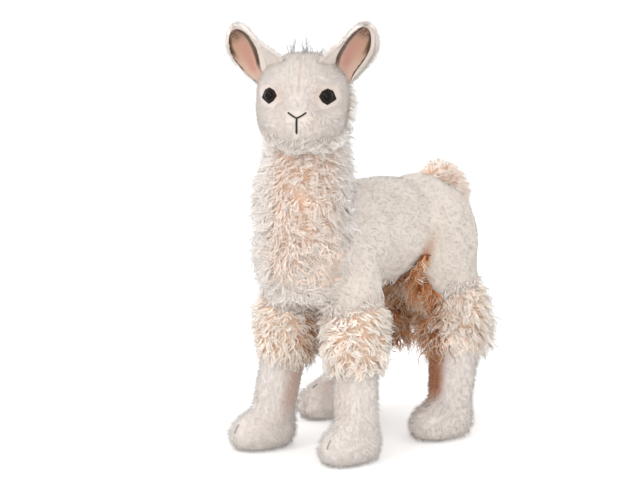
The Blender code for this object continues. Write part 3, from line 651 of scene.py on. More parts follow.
# %% [markdown]
# The rays for the body's skin leave a line from the chest to the rump. Brown painted shade
# lies in the fold between the belly and each thigh, so the skin's map says where it lies.

# %% Body skin
body_surface = skin_grid(
    body_field,
    (0, FRONT_LEG_Y, TORSO_CENTRE_Z),
    (0, HIND_LEG_Y, TORSO_CENTRE_Z),
    150,
    110,
    (X_AXIS, Z_AXIS),
    0.15,
)


def eased(value, low, high):
    """The smooth step 3t^2 - 2t^3 of t = (value - low) / (high - low), held to 0..1."""
    t = np.clip((value - low) / (high - low), 0.0, 1.0)
    return t * t * (3.0 - 2.0 * t)


def flank_painted_shade(points):
    """The share of brown painted shade: 1 in the fold between the belly and a thigh's front, and
    under the belly behind it.
    """
    thighs = np.minimum(thigh_field(points, "hind_left"), thigh_field(points, "hind_right"))
    fold = 1.0 - eased(np.abs(torso_field(points) - thighs), 0.002, 0.011)
    ahead = 1.0 - eased(points[..., 1], HIND_LEG_Y - 0.035, HIND_LEG_Y - 0.018)
    fold = fold * ahead * (1.0 - eased(points[..., 2], BAND_TOP + 0.016, BAND_TOP + 0.062))
    behind = eased(points[..., 1], HIND_LEG_Y - 0.085, HIND_LEG_Y - 0.050)
    behind = behind * (1.0 - eased(points[..., 1], HIND_LEG_Y - 0.002, HIND_LEG_Y + 0.014))
    under = 1.0 - eased(points[..., 2], BAND_TOP + 0.002, BAND_TOP + 0.016)
    within = 1.0 - eased(np.abs(points[..., 0]), 0.036, 0.050)
    return np.maximum(fold, behind * under * within)


body = make_skin("body_skin", *body_surface, BODY_PLUSH, flank_painted_shade)
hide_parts("torso", "hind_left_haunch", "hind_right_haunch")

# %% [markdown]
# The head has a round skull, full cheeks and a short muzzle. The eyes are drawn in by
# the thread that holds them, which leaves a shallow socket under a soft brow. A seam
# runs down the middle of the forehead, and the mouth's thread pulls a fold into the chin.

# %% Head form


def on_head(left, forward, up):
    """A point given in the head's own frame, as a place in the toy's frame."""
    return HEAD_CENTRE + HEAD_AXES @ np.array([left, -forward, up])


def in_head(points):
    """x, y and z of the points in the head's own frame: the reverse of on_head."""
    return np.moveaxis((points - HEAD_CENTRE) @ HEAD_AXES, -1, 0)


def bump(offset, width):
    """A bell curve exp(-x^2 / 2w^2)."""
    return np.exp(-np.square(offset / width) / 2.0)


def head_field(points):
    """Skull, muzzle and cheeks, less the sockets, the seam and the fold of the mouth."""
    local = (points - HEAD_CENTRE) @ HEAD_AXES
    skull = ellipsoid(local, (0, 0, SKULL[2] * 0.05), SKULL / 2)
    reach = MUZZLE_REACH / 2
    muzzle = ellipsoid(
        local,
        (0, -(MUZZLE_REACH - reach), -MUZZLE_DROP),
        np.array([MUZZLE_WIDTH / 2, reach, MUZZLE_HEIGHT / 2]),
    )
    solid = blend(skull, muzzle, 0.016)
    for side in (-1, 1):
        cheek = ellipsoid(
            local,
            (side * SKULL[0] * 0.20, -SKULL[1] * 0.14, -MUZZLE_DROP),
            np.array([SKULL[0] * 0.26, SKULL[1] * 0.34, SKULL[2] * 0.30]),
        )
        solid = blend(solid, cheek, 0.014)
    x, y, z = local[..., 0], local[..., 1], local[..., 2]
    face = np.clip(-y / 0.012, 0.0, 1.0)
    for side in (-1, 1):
        socket = bump(x - side * 0.0255, 0.0065) * bump(z - 0.005, 0.0060)
        brow = bump(x - side * 0.0235, 0.0090) * bump(z - 0.0175, 0.0040)
        solid = solid + face * (0.0016 * socket - 0.0009 * brow)
    above = np.clip((z - 0.002) / 0.012, 0.0, 1.0)
    seam = bump(x, 0.0007) * above * 0.0006
    chin = bump(x, 0.0016) * face * np.clip((-0.012 - z) / 0.004, 0.0, 1.0) * 0.0009
    return solid + seam + chin


# %% [markdown]
# The head's skin is cast from a short upright line. Its map gives a faint warm painted
# shade to the sockets, the brow, the seam and the jaw.

# %% Head skin
head_surface = skin_grid(
    head_field,
    on_head(0, 0.006, -SKULL[2] * 0.2),
    on_head(0, 0.006, SKULL[2] * 0.2),
    168,
    100,
    (HEAD_AXES[:, 0], HEAD_AXES[:, 1]),
    0.10,
)


def face_painted_shade(points):
    """Warm shading: two sockets, beside the nose, along the seam and brow, and the jaw."""
    x, y, z = in_head(points)
    share = 0.0 * x
    for side in (-1, 1):
        share += 0.42 * bump(x - side * 0.022, 0.0075) * bump(z - 0.0085, 0.0052)
        share += 0.16 * bump(x - side * 0.014, 0.005) * bump(z + 0.012, 0.006)
    share += 0.18 * bump(x, 0.0018) * eased(z, 0.008, 0.018)
    near_seam = 1.0 - eased(np.abs(x), 0.006, 0.014)
    share += 0.14 * bump(z - 0.012 - 0.55 * np.abs(x), 0.0013) * near_seam
    share += 0.20 * (1.0 - eased(z, -0.042, -0.034))
    return np.clip(share, 0.0, 1.0) * np.clip(-y / 0.006, 0.0, 1.0)


head = make_skin("head_skin", *head_surface, HEAD_PLUSH, face_painted_shade)
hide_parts("head")

# %% [markdown]
# A lower leg is a stuffed tube sewn to a foot. The sole lies flat on the floor, and
# the plush rolls round its edge, so the solid is rounded off where it meets the floor.
# Brown painted shade runs down each leg's inner side, most strongly on the hind left one.

# %% Lower legs and feet


def leg_field(name):
    """A tapered leg blended into a foot bun, then rounded off against the floor."""
    top, knee, ankle, turn = leg_places(name)
    heel = FOOT_LENGTH / 2 - ANKLE_RADIUS
    toe_way = np.array([math.sin(turn), -math.cos(turn), 0.0])
    foot = np.array([ankle[0], ankle[1], FOOT_HEIGHT * 0.42]) + toe_way * heel
    radii = np.array([FOOT_WIDTH, FOOT_LENGTH, FOOT_HEIGHT * 1.16]) / 2
    knee_radius = HOCK_RADIUS if name.startswith("hind") else LEG_RADIUS
    inner_end = knee + 0.25 * (top - knee)

    def field(points):
        """The form of this leg, with the floor taken off."""
        shank = rod(points, ankle, inner_end, ANKLE_RADIUS, knee_radius)
        bun = ellipsoid(turned_about_z(points, foot, turn), (0, 0, 0), radii)
        return -blend(-blend(shank, bun, 0.012), points[..., 2] - 0.0003, 0.005)

    return field


INNER_SHADE = {"front_left": 0.2, "front_right": 0.5, "hind_left": 0.95, "hind_right": 0.7}
leg_skins = {}
for leg_name in LEGS:
    knee, ankle = leg_places(leg_name)[1:3]
    sole = np.array([ankle[0], ankle[1], 0.012]) + (ankle - knee) * 0.10 * np.array([1, 1, 0])
    surface = skin_grid(leg_field(leg_name), sole, knee, 76, 64, (X_AXIS, Y_AXIS), FOOT_LENGTH)
    inner = np.array([-LEGS[leg_name][0] * 0.80, -LEGS[leg_name][0] * 0.60, 0.0])
    if leg_name.startswith("hind"):
        inner = np.array([-LEGS[leg_name][0] * 0.96, -0.28, 0.0])

    def inner_painted_shade(points, name=leg_name, way=inner):
        """The brown painted shade of a leg's inner side, which fades out above the foot."""
        facing = outward(leg_field(name), points) @ way
        height = eased(points[..., 2], 0.022, 0.050)
        low, high = (-0.15, 0.40) if name == "hind_left" else (0.05, 0.60)
        return INNER_SHADE[name] * height * eased(facing, low, high)

    skin = make_skin(leg_name + "_leg_skin", *surface, LEG_PLUSH, inner_painted_shade)
    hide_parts(leg_name + "_leg")
    leg_skins[leg_name] = surface, inner_painted_shade

# %% [markdown]
# The neck, the four bands and the tail are barrels of curly plush. Each is modelled as
# a backing, tan like the roots of its pile as painted shade in the depth of the fur, and
# thousands of locks that stand on it.
# A lock is a thin tapered strand with three sides: it leaves the backing steeply,
# leans over with its neighbours and curls. Neighbours share a clump, and their
# tips draw together, as brushed curls do.

# %% Locks of pile
THREE_SIDES = np.array([0.5, 7 / 6, 11 / 6]) * np.pi


def lock_mesh(name, path, normals, width, tone, finish):
    """Three-sided tapered tubes along paths of shape (strands, steps + 1, 3).

    The radius is w/2 (1 - t^2)^0.8 at share t of the length, and the last point is the tip.
    """
    count, stations = path.shape[:2]
    steps = stations - 1
    along = unit(np.gradient(path, axis=1))
    sideways = unit(np.cross(along, normals[:, None]))
    upwards = np.cross(sideways, along)
    share = np.linspace(0.0, 1.0, stations)[:-1]
    radius = width[:, None] / 2 * (1.0 - share**2) ** 0.8
    spokes = (
        np.cos(THREE_SIDES)[None, None, :, None] * sideways[:, :-1, None]
        + np.sin(THREE_SIDES)[None, None, :, None] * upwards[:, :-1, None]
    )
    rings = path[:, :-1, None] + radius[..., None, None] * spokes
    points = np.concatenate([rings.reshape(count, -1, 3), path[:, -1:]], axis=1)
    row = np.arange(3)
    lower = np.concatenate([row + 3 * j for j in range(steps - 1)])
    after = np.concatenate([(row + 1) % 3 + 3 * j for j in range(steps - 1)])
    quads = np.stack([lower, after, after + 3, lower + 3], axis=-1)
    last = 3 * (steps - 1)
    caps = np.array([[last + i, last + (i + 1) % 3, 3 * steps] for i in range(3)] + [[2, 1, 0]])
    base = (np.arange(count) * (3 * steps + 1))[:, None, None]
    faces = [(quads[None] + base).reshape(-1, 4), (caps[None] + base).reshape(-1, 3)]
    uv = np.stack(
        [
            np.repeat(tone, 3 * steps + 1),
            np.tile(np.append(np.repeat(share, 3), 1.0), count),
        ],
        axis=-1,
    )
    own = np.broadcast_to(spokes, rings.shape).reshape(count, -1, 3)
    own = np.concatenate([own, along[:, -1:]], axis=1)
    lean = unit(own + 2.0 * normals[:, None])
    return make_object(name, points.reshape(-1, 3), faces, finish, uv, lean.reshape(-1, 3))


# %% [markdown]
# The path of a lock is walked in a few steps. Numbers that neighbours share come from
# a clump's middle, and each lock adds a little of its own. One lock in ten strays
# further out, which breaks the outline. Points that end up in a solid are pushed out.

# %% Paths of locks


def nearest(points, centres):
    """Index of the closest centre for each point, in blocks that fit in memory."""
    blocks = np.array_split(points, max(1, len(points) // 2000))
    found = []
    for block in blocks:
        found.append(np.argmin(np.square(block[:, None] - centres[None]).sum(-1), axis=1))
    return np.concatenate(found)


def lock_paths(
    roots, normals, lay, length, rng, clump=8, curl=1.2, rise=1.30, droop=-0.20, steps=5, draw=0.40
):
    """Paths of locks that start steep, lean along their lay and sway from side to side.

    At share t the elevation is rise (1-t)^0.9 - droop t, and the heading is
    sway + curl sin(2 pi w t + phase), with sway, w and phase shared by a clump.
    """
    count = len(roots)
    middles = rng.choice(count, max(2, count // clump), replace=False)
    group = nearest(roots, roots[middles])
    shared = rng.uniform(-1.0, 1.0, (len(middles), 4))[group]
    own = rng.uniform(-1.0, 1.0, (count, 4))
    sway = 0.75 * shared[:, 0] + 0.30 * own[:, 0]
    phase = np.pi * shared[:, 1] + 0.6 * own[:, 1]
    waves = 0.75 + 0.30 * shared[:, 2] + 0.15 * own[:, 2]
    lift = rise * (1.0 + 0.18 * shared[:, 3] + 0.12 * own[:, 3])
    side = np.cross(normals, lay)
    path = [roots]
    for step in range(steps):
        t = (step + 0.5) / steps
        up = (lift * (1.0 - t) ** 0.9 - droop * t)[:, None]
        turn = (sway + curl * np.sin(2 * np.pi * waves * t + phase))[:, None]
        way = np.cos(up) * (np.cos(turn) * lay + np.sin(turn) * side) + np.sin(up) * normals
        path.append(path[-1] + way * (length / steps)[:, None])
    path = np.stack(path, axis=1)
    share = np.linspace(0.0, 1.0, steps + 1)
    path += draw * (roots[middles][group] - roots)[:, None] * share[None, :, None]
    stray = rng.uniform(0.0, 1.0, count) < 0.10
    path[stray] = path[stray, :1] + 1.30 * (path[stray] - path[stray, :1])
    tone = np.clip(0.5 + 0.35 * shared[:, 1] + 0.25 * own[:, 3], 0.0, 1.0)
    return path, tone


def kept_out(path, field, gap):
    """Moves the points of a path that are in a solid out along its gradient, to a gap above it."""
    flat = path.reshape(-1, 3)
    depth = gap - field(flat)
    inside = np.flatnonzero(depth > 0)
    if len(inside):
        flat[inside] += outward(field, flat[inside]) * depth[inside, None]
    return flat.reshape(path.shape)


def brushed(normals, way):
    """A direction laid flat on a surface: w - n (n . w), made unit length."""
    way = np.broadcast_to(way, normals.shape)
    return unit(way - normals * np.einsum("ij,ij->i", way, normals)[:, None])


def grow_locks(
    name, roots, normals, way, length, widths, finish, rng, field=None, gap=0.0004, **curls
):
    """Locks of one finish: their paths, kept out of a solid by a gap, and their mesh."""
    path, tone = lock_paths(roots, normals, brushed(normals, way), length, rng, **curls)
    if field is not None:
        path = kept_out(path, field, gap)
    return lock_mesh(name, path, normals, rng.uniform(*widths, len(roots)), tone, finish)


def locks_by_colour(parts, path, normals, width, tone):
    """A mesh of locks for each name in parts, which says which locks and what finish."""
    for name, (chosen, finish) in parts.items():
        piece = lock_mesh(name, path[chosen], normals[chosen], width[chosen], tone[chosen], finish)


print("triangles in a lock of 4 and of 5 steps:", [6 * steps - 2 for steps in (4, 5)])

# %% [markdown]
# The neck's backing is that barrel, less the depth of its pile. Its roots lie on the
# backing, or on the chest where the bib covers it. The fur is peach in front and paler
# round the sides and the nape, so front and back are each grown in two colours.

# %% Neck fur
NECK_LOCKS = {"front": 5000, "back": 3900}
neck_share = np.linspace(0.0, 1.0, 44)[:, None]
neck_angle = np.linspace(0.0, 2 * np.pi, 72, endpoint=False)[None]
neck_grid = neck_point(*np.broadcast_arrays(neck_share, neck_angle), FUR_DEPTH)
neck_first = neck_grid[0].mean(axis=0) - 0.001 * Z_AXIS
neck_last = neck_grid[-1].mean(axis=0) + 0.001 * Z_AXIS


def pale_share(points):
    """0 on the chest and its left, where the fur is peach, 1 on the right and the nape."""
    azimuth = np.arctan2(points[..., 0], NECK_Y + NECK_LEAN / 2 - points[..., 1])
    low = 1.0 - eased(points[..., 2], NECK_FOOT_Z + 0.008, NECK_FOOT_Z + 0.026)
    return np.maximum(eased(np.abs(azimuth - 0.68), 0.62, 1.02), low)


backing = make_skin("neck_backing", neck_grid, neck_first, neck_last, UNDERCOAT, pale_share)
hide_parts("neck_fur")


def neck_roots(count, rng):
    """Roots spread evenly over the neck's backing, with their normals."""
    share = rng.uniform(0.0, 1.0, count * 3)
    angle = rng.uniform(0.0, 2 * np.pi, count * 3)
    keep = rng.uniform(0.0, NECK_RADIUS, count * 3) < neck_radius(share)
    share, angle = share[keep], angle[keep]
    here = neck_point(share, angle, FUR_DEPTH)
    along = neck_point(np.clip(share + 0.01, 0, 1), angle, FUR_DEPTH) - here
    around = neck_point(share, angle + 0.01, FUR_DEPTH) - here
    normal = unit(np.cross(around, along))
    depth = -body_field(here)
    under = depth > 0.0
    body_normal = outward(body_field, here[under])
    here[under] += body_normal * depth[under, None]
    normal[under] = unit(normal[under] + body_normal)
    free = (depth < 0.020) & (head_field(here) > 0.0005)
    return here[free][:count], normal[free][:count]


for half, seed in (("front", 11), ("back", 12)):
    rng = np.random.default_rng(seed)
    roots, normals = neck_roots(13200, rng)
    faces_front = normals[:, 1] < 0.0
    chosen = faces_front if half == "front" else ~faces_front
    count = NECK_LOCKS[half]
    roots, normals = roots[chosen][:count], normals[chosen][:count]
    way = np.stack([normals[:, 0], normals[:, 1] * 0.3, np.full(len(roots), -0.65)], axis=-1)
    way[:, 0] += 0.6 * np.sign(roots[:, 0]) * np.abs(roots[:, 0] / NECK_RADIUS) ** 0.5
    length = rng.uniform(0.0125, 0.0195, len(roots))
    throat = eased(roots[:, 2], NECK_FOOT_Z + 0.095, NECK_FOOT_Z + 0.125)
    length *= 1.0 - 0.35 * throat * eased(-roots[:, 0], 0.0, 0.02)
    length *= 1.0 + 0.35 * (rng.uniform(0.0, 1.0, len(roots)) < 0.07)
    path, tone = lock_paths(roots, normals, brushed(normals, way), length, rng, draw=0.22)
    path = kept_out(path, body_field, 0.0006)
    path = kept_out(path, head_field, 0.0004)
    width = rng.uniform(0.0006, 0.0013, len(roots))
    pale = pale_share(roots) + rng.normal(0.0, 0.18, len(roots)) > 0.5
    parts = {
        f"neck_{half}_peach_curls": (~pale, NECK_CURLS),
        f"neck_{half}_pale_curls": (pale, PALE_CURLS),
    }
    locks_by_colour(parts, path, normals, width, tone)

# %% [markdown]
# The band on each leg is a puffed ring of the same curls, fuller low down, and its
# locks hang over the top of the lower leg. Some locks are brown or tan as painted shade,
# on the inner sides of the hind legs and down one side of the front right leg. The hind
# right band's backing is brown, also as painted shade.

# %% Leg bands
BAND_LOCKS, BAND_INSET = 1800, 0.0065


def band_point(name, share, angle, inset):
    """A barrel round a leaning axis: radius e + (r - e) sin(pi s)^0.6 - inset."""
    top, knee = leg_places(name)[:2]
    swell = np.sin(np.pi * np.clip(share, 0.0, 1.0)) ** 0.6
    radius = BAND_END_RADIUS + (BAND_RADIUS - BAND_END_RADIUS) * swell - inset
    axis = knee + share[..., None] * (top - knee)
    spoke = np.stack([np.cos(angle), np.sin(angle), 0 * angle], axis=-1)
    return axis + radius[..., None] * spoke


def make_band(name, count, seed):
    """The tan backing of a band, its cream locks, and the brown locks of painted shade on an inner
    side.
    """
    inset, hind = BAND_INSET, name.startswith("hind")
    share, angle = np.broadcast_arrays(
        np.linspace(0.0, 1.0, 30)[:, None], np.linspace(0, 2 * np.pi, 64, endpoint=False)[None]
    )
    grid = band_point(name, share, angle, inset)
    ends = grid[0].mean(axis=0) - 0.0005 * Z_AXIS, grid[-1].mean(axis=0) + 0.0005 * Z_AXIS
    # Painted shade: the hind right band, on the far side, has a brown backing.
    under = BROWN_UNDERCOAT if name == "hind_right" else UNDERCOAT
    backing = make_skin(name + "_band_backing", grid, *ends, under)
    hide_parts(name + "_leg_fur")
    rng = np.random.default_rng(seed)
    share = rng.uniform(0.0, 1.0, count * 2)
    angle = rng.uniform(0.0, 2 * np.pi, count * 2)
    roots = band_point(name, share, angle, inset)
    along = band_point(name, share + 0.01, angle, inset) - roots
    around = band_point(name, share, angle + 0.01, inset) - roots
    normals = unit(np.cross(around, along))
    free = body_field(roots) > -0.0015
    roots, normals, share = roots[free][:count], normals[free][:count], share[free][:count]
    drop = -0.8 + 1.3 * eased(share, 0.78, 0.96)
    way = np.stack([normals[:, 0] * 0.7, normals[:, 1] * 0.7, drop], axis=-1)
    length = rng.uniform(0.0115, 0.0180, len(roots)) * (1.12 if hind else 1.0)
    length *= 1.0 - 0.25 * eased(share, 0.80, 1.0)
    outer = normals @ np.array([LEGS[name][0] * 0.81, LEGS[name][0] * 0.59, 0.0])
    longer = {"front_right": -0.35, "hind_left": 0.30}.get(name, 0.0)
    length *= 1.0 + longer * eased(outer, 0.2, 0.9) * (1.0 - eased(share, 0.35, 0.75))
    inner_way = (0.95, 0.31, 0.0) if name == "front_right" else (-LEGS[name][0] * 0.86, -0.50, 0.0)
    inner = normals @ np.array(inner_way)
    limit = {"front_right": 0.92, "hind_left": 0.50, "hind_right": 0.0}.get(name, 9.0)
    # Painted shade: locks on the side that faces the other legs are brown or tan.
    brown = (inner + rng.normal(0.0, 0.22, len(roots)) > limit) & (inner > 0.1)
    length *= 1.0 + (0.50 if hind else 0.10) * brown * (1.0 - eased(share, 0.45, 0.85))
    way[:, 2] -= 0.6 * brown
    path, tone = lock_paths(roots, normals, brushed(normals, way), length, rng)
    path = kept_out(path, leg_field(name), 0.0004)
    path = kept_out(path, body_field, 0.0004)
    width = rng.uniform(0.0008, 0.0015, len(roots))
    tan = brown & (rng.uniform(0.0, 1.0, len(roots)) < (0.32 if hind else 0.70))
    parts = {name + "_band_curls": (~brown, BAND_CURLS)}
    if brown.any():
        parts[name + "_band_brown_curls"] = brown & ~tan, BROWN_CURLS
        parts[name + "_band_tan_curls"] = tan, TAN_CURLS
    locks_by_colour(parts, path, normals, width, tone)


for seed, leg_name in enumerate(LEGS):
    make_band(leg_name, BAND_LOCKS, 20 + seed)

# %% [markdown]
# The tail leaves the top of the rump and curls down behind it in a quarter turn.

# %% Tail
TAIL_LOCKS, TAIL_INSET = 1300, 0.005


def tail_spine(share):
    """root + b (0, sin a, cos a - 1), with a = s pi/2 and b = length / (pi/2)."""
    root = np.array([0.0, HIND_LEG_Y + RUMP_REACH * 0.45, TORSO_TOP_Z - 0.005])
    bend = TAIL_LENGTH / (math.pi / 2)
    angle = share * math.pi / 2
    return root + bend * np.stack([0 * angle, np.sin(angle), np.cos(angle) - 1.0], axis=-1)


def tail_point(share, angle, inset):
    """Circles square to the spine: radius r sin(pi s)^0.45 - inset."""
    forward = unit(tail_spine(share + 0.01) - tail_spine(share))
    up = np.cross(np.broadcast_to(X_AXIS, forward.shape), forward)
    radius = TAIL_RADIUS * np.sin(np.pi * np.clip(share, 0.0, 1.0)) ** 0.45 - inset
    radius = np.maximum(radius, 0.001)[..., None]
    return tail_spine(share) + radius * (
        np.cos(angle)[..., None] * X_AXIS + np.sin(angle)[..., None] * up
    )


tail_share, tail_angle = np.broadcast_arrays(
    np.linspace(0.03, 0.97, 30)[:, None], np.linspace(0, 2 * np.pi, 48, endpoint=False)[None]
)
tail_grid = tail_point(tail_share, tail_angle, TAIL_INSET)
tail_backing = make_skin(
    "tail_backing", tail_grid, tail_spine(np.array(0.02)), tail_spine(np.array(0.98)), UNDERCOAT
)
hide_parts("tail")
rng = np.random.default_rng(31)
share, angle = rng.uniform(0.03, 0.97, 3000), rng.uniform(0.0, 2 * np.pi, 3000)
roots = tail_point(share, angle, TAIL_INSET)
along = tail_point(share + 0.005, angle, TAIL_INSET) - roots
around = tail_point(share, angle + 0.01, TAIL_INSET) - roots
normals = unit(np.cross(along, around))
free = body_field(roots) > -0.001
roots, normals, along = (values[free][:TAIL_LOCKS] for values in (roots, normals, along))
way = unit(along) + 0.5 * normals - 0.2 * Z_AXIS
length = rng.uniform(0.009, 0.014, len(roots))
tail_curls = grow_locks(
    "tail_curls", roots, normals, way, length, (0.0009, 0.0015), NECK_CURLS, rng, body_field
)

# %% [markdown]
# Each ear is a cupped leaf of plush, folded round at its foot on the crown's side. A leaf
# is a surface of two numbers: v from root to tip, and u across. Its two faces meet at
# the rim, so it is one closed shell, thick in the middle and thin at its edge.

# %% Ears
EAR_LENGTH, EAR_WIDTH, EAR_THICKNESS = 0.060, 0.042, 0.0030
EAR_CUP, EAR_BEND, EAR_RIM, EAR_FOLD = 0.012, 0.004, 0.0034, 0.70
EAR_SPREAD = {1: math.radians(27.0), -1: math.radians(31.0)}
EAR_TURN = math.radians(34.0)
LINING_SHIFT = 0.0022


def ear_surface(side, across, share, high, inset, height):
    """base + v L along + u w(v) sideways + (cup u^2 - bend sin(pi v) + height) opening.

    The half width w is (W/2 - inset) sqrt(1 - (v/high)^3), drawn in towards the root.
    """
    base = on_head(side * 0.0315, -0.006, 0.0135)
    left, forward, up = HEAD_AXES[:, 0], -HEAD_AXES[:, 1], HEAD_AXES[:, 2]
    spread = EAR_SPREAD[side]
    along = up * math.cos(spread) + left * side * math.sin(spread)
    opening = forward * math.cos(EAR_TURN) + left * side * math.sin(EAR_TURN)
    opening = unit(opening - along * np.dot(along, opening))
    sideways = np.cross(along, opening)
    full = EAR_WIDTH / 2
    half = (full - inset) * np.sqrt(np.maximum(1.0 - (share / high) ** 3.0, 0.0))
    crown_side = across * side < 0.0
    if inset:
        inner = 0.30 + 0.70 * eased(share, 0.0, 0.55)
    else:
        inner = 1.0 + EAR_FOLD * (1.0 - share)
    outer = 0.42 + 0.58 * (1.0 - (1.0 - np.clip(share / 0.72, 0.0, 1.0)) ** 1.35)
    reach = across * half * np.where(crown_side, inner, outer)
    if inset:
        reach = reach - LINING_SHIFT * eased(share, 0.0, 0.3)
    turn_in = np.abs(reach) / full
    cup = np.minimum(turn_in, 1.0) ** 2 + 0.3 * np.maximum(turn_in - 1.0, 0.0)
    cup = cup * np.where(crown_side, 0.45 + 0.55 * eased(share, 0.1, 0.6), 1.0)
    rise = EAR_CUP * cup - EAR_BEND * np.sin(np.pi * share) + height
    return (
        base
        + along * (EAR_LENGTH * share)[..., None]
        + sideways * reach[..., None]
        + opening * rise[..., None]
    )


def leaf(name, side, low, high, inset, lift, thickness, finish):
    """Two faces over the same (u, v) grid, joined along a shared rim."""
    rows, columns = 42, 29
    v = low + (high - low) * np.sin(np.linspace(0.0, np.pi / 2 - 0.02, rows))
    u = np.sin(np.linspace(-np.pi / 2, np.pi / 2, columns))
    share, across = np.meshgrid(v, u, indexing="ij")
    edge = np.clip((1.0 - np.abs(across)) / 0.12, 0.0, 1.0) * np.clip(
        (high - share) / (0.05 * (high - low)), 0.0, 1.0
    )
    swell = np.sqrt(edge * (2.0 - edge))
    rise = lift + thickness * (0.5 + 0.5 * swell), lift + thickness * (0.5 - 0.5 * swell)
    front, back = (ear_surface(side, across, share, high, inset, h) for h in rise)
    index = np.arange(rows * columns).reshape(rows, columns)
    rim = np.zeros((rows, columns), bool)
    rim[:, 0] = rim[:, -1] = rim[-1] = True
    behind = np.where(rim, index, index + rows * columns)

    def quads(grid):
        """The quads between the points of a grid."""
        corners = grid[:-1, :-1], grid[:-1, 1:], grid[1:, 1:], grid[1:, :-1]
        return np.stack(corners, -1).reshape(-1, 4)

    root = np.stack([index[0, :-1], behind[0, :-1], behind[0, 1:], index[0, 1:]], -1)
    faces = [quads(index), quads(behind)[:, ::-1], root[1:-1]]
    corner_a = np.array([[index[0, 0], behind[0, 1], index[0, 1]]])
    corner_b = np.array([[index[0, -2], behind[0, -2], index[0, -1]]])
    faces.append(np.concatenate([corner_a, corner_b]))
    over = across * side * 0.5 + 0.5
    if inset:
        most, start, end = (0.42, 0.15, 0.9) if side < 0 else (0.28, 0.04, 0.30)
        cover = most * (1.0 - eased(share, start, end))
        over = (over - cover) / (1.0 - cover)
    uv = np.stack([over, share], -1).reshape(-1, 2)
    points = np.concatenate([front.reshape(-1, 3), back.reshape(-1, 3)])
    return make_object(name, points, faces, finish, np.concatenate([uv, uv]))


# %% [markdown]
# The lining is dyed: a rose streak up its middle, and a brown edge that is widest and
# speckled at the tip. The masks are smooth steps of the lining's own map, which a noise
# bends a little, so that no edge is ruled.

# %% Ear finish and pieces


def lining_finish():
    """Dusty pink lining: a rose streak up the middle, and a brown edge, wide at the tip.

    On its map U is 0 at the crown's side and 1 at the outer side, and V runs to the tip.
    """
    finish, tree, shader = new_material("ear_lining", 0.85, 0.25, 0.5)
    across, along = map_shares(tree)
    object_place = tree.nodes.new("ShaderNodeTexCoord").outputs["Object"]
    blot = noise(tree, object_place, 160.0, 3.0, 0.6)

    def math_node(operation, first, second):
        """A maths node on two sockets or plain values."""
        node = tree.nodes.new("ShaderNodeMath")
        node.operation = operation
        for index, value in enumerate((first, second)):
            if isinstance(value, bpy.types.NodeSocket):
                tree.links.new(value, node.inputs[index])
            else:
                node.inputs[index].default_value = value
        return node.outputs[0]

    wander = math_node("MULTIPLY", math_node("SUBTRACT", blot, 0.5), 0.12)
    u = math_node("ADD", across, wander)
    v = math_node("ADD", along, wander)
    streak = math_node(
        "MULTIPLY",
        math_node("MULTIPLY", ramp(tree, u, 0.10, 0.46), ramp(tree, u, 0.90, 0.50)),
        math_node("MULTIPLY", ramp(tree, v, 0.12, 0.35), ramp(tree, v, 0.86, 0.62)),
    )
    ground = mix_colour(
        tree, ramp(tree, v, 0.75, 0.20), (0.46, 0.29, 0.20, 1), (0.60, 0.42, 0.34, 1)
    )
    rose = mix_colour(tree, streak, ground, (0.50, 0.26, 0.205, 1))
    inner_edge = math_node("MULTIPLY", ramp(tree, u, 0.27, 0.13), ramp(tree, v, 0.10, 0.38))
    outer_wide = math_node("MULTIPLY", ramp(tree, u, 0.80, 0.93), ramp(tree, v, 0.45, 0.70))
    outer_edge = math_node("MAXIMUM", ramp(tree, u, 0.92, 0.97), outer_wide)
    speckle = ramp(tree, noise(tree, object_place, 700.0, 2.0, 0.6), 0.40, 0.62, 0.45, 1.0)
    tip = math_node("MULTIPLY", ramp(tree, v, 0.72, 0.90), speckle)
    edge = math_node("MAXIMUM", math_node("MAXIMUM", inner_edge, outer_edge), tip)
    inside = mix_colour(tree, edge, rose, (0.085, 0.040, 0.024, 1))
    colour = mix_colour(tree, ramp(tree, u, -0.01, -0.08), inside, (0.71, 0.63, 0.56, 1))
    tree.links.new(colour, shader.inputs["Base Color"])
    add_relief(tree, shader, noise(tree, object_place, 900.0, 2.0, 0.6), 0.3, 0.0005)
    return finish


LINING = lining_finish()
for label, side in (("left", 1), ("right", -1)):
    shell = leaf(label + "_ear_shell", side, 0.0, 1.0, 0.0, 0.0, EAR_THICKNESS, EAR_PLUSH)
    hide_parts(label + "_ear")
    inside = leaf(
        label + "_ear_inside", side, 0.02, 0.965, EAR_RIM, EAR_THICKNESS * 0.8, 0.0016, LINING
    )
    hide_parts(label + "_ear_lining")

# %% [markdown]
# The eyes are glossy domes on suede patches. The patch follows the face, with a round
# top, and points at the inner corner, the outer corner and below, which gives
# the llama its gentle slanting look.

# %% Eyes
EYE_RADIUS = 0.0057
EYE_SIDE = {1: 0.0250, -1: 0.0277}
EYE_UP = 0.007
LID_SCALE = 0.93
LID_CORNERS = np.array(
    [
        (-0.0078, 0.0006),
        (-0.0050, 0.0054),
        (0.0002, 0.0076),
        (0.0052, 0.0046),
        (0.0086, -0.0040),
        (0.0050, -0.0060),
        (0.0006, -0.0080),
        (-0.0044, -0.0046),
    ]
)


def on_face(left, up, lift=0.0):
    """Points of the face straight ahead of (left, up), raised along the normal."""
    local = np.stack([left, np.zeros_like(left), up], axis=-1)
    origins = HEAD_CENTRE + local @ HEAD_AXES.T
    ahead = np.tile(-HEAD_AXES[:, 1], (len(origins), 1))
    hits = cast(head_field, origins, ahead, 0.12)
    normals = outward(head_field, hits)
    return hits + normals * np.asarray(lift)[..., None], normals


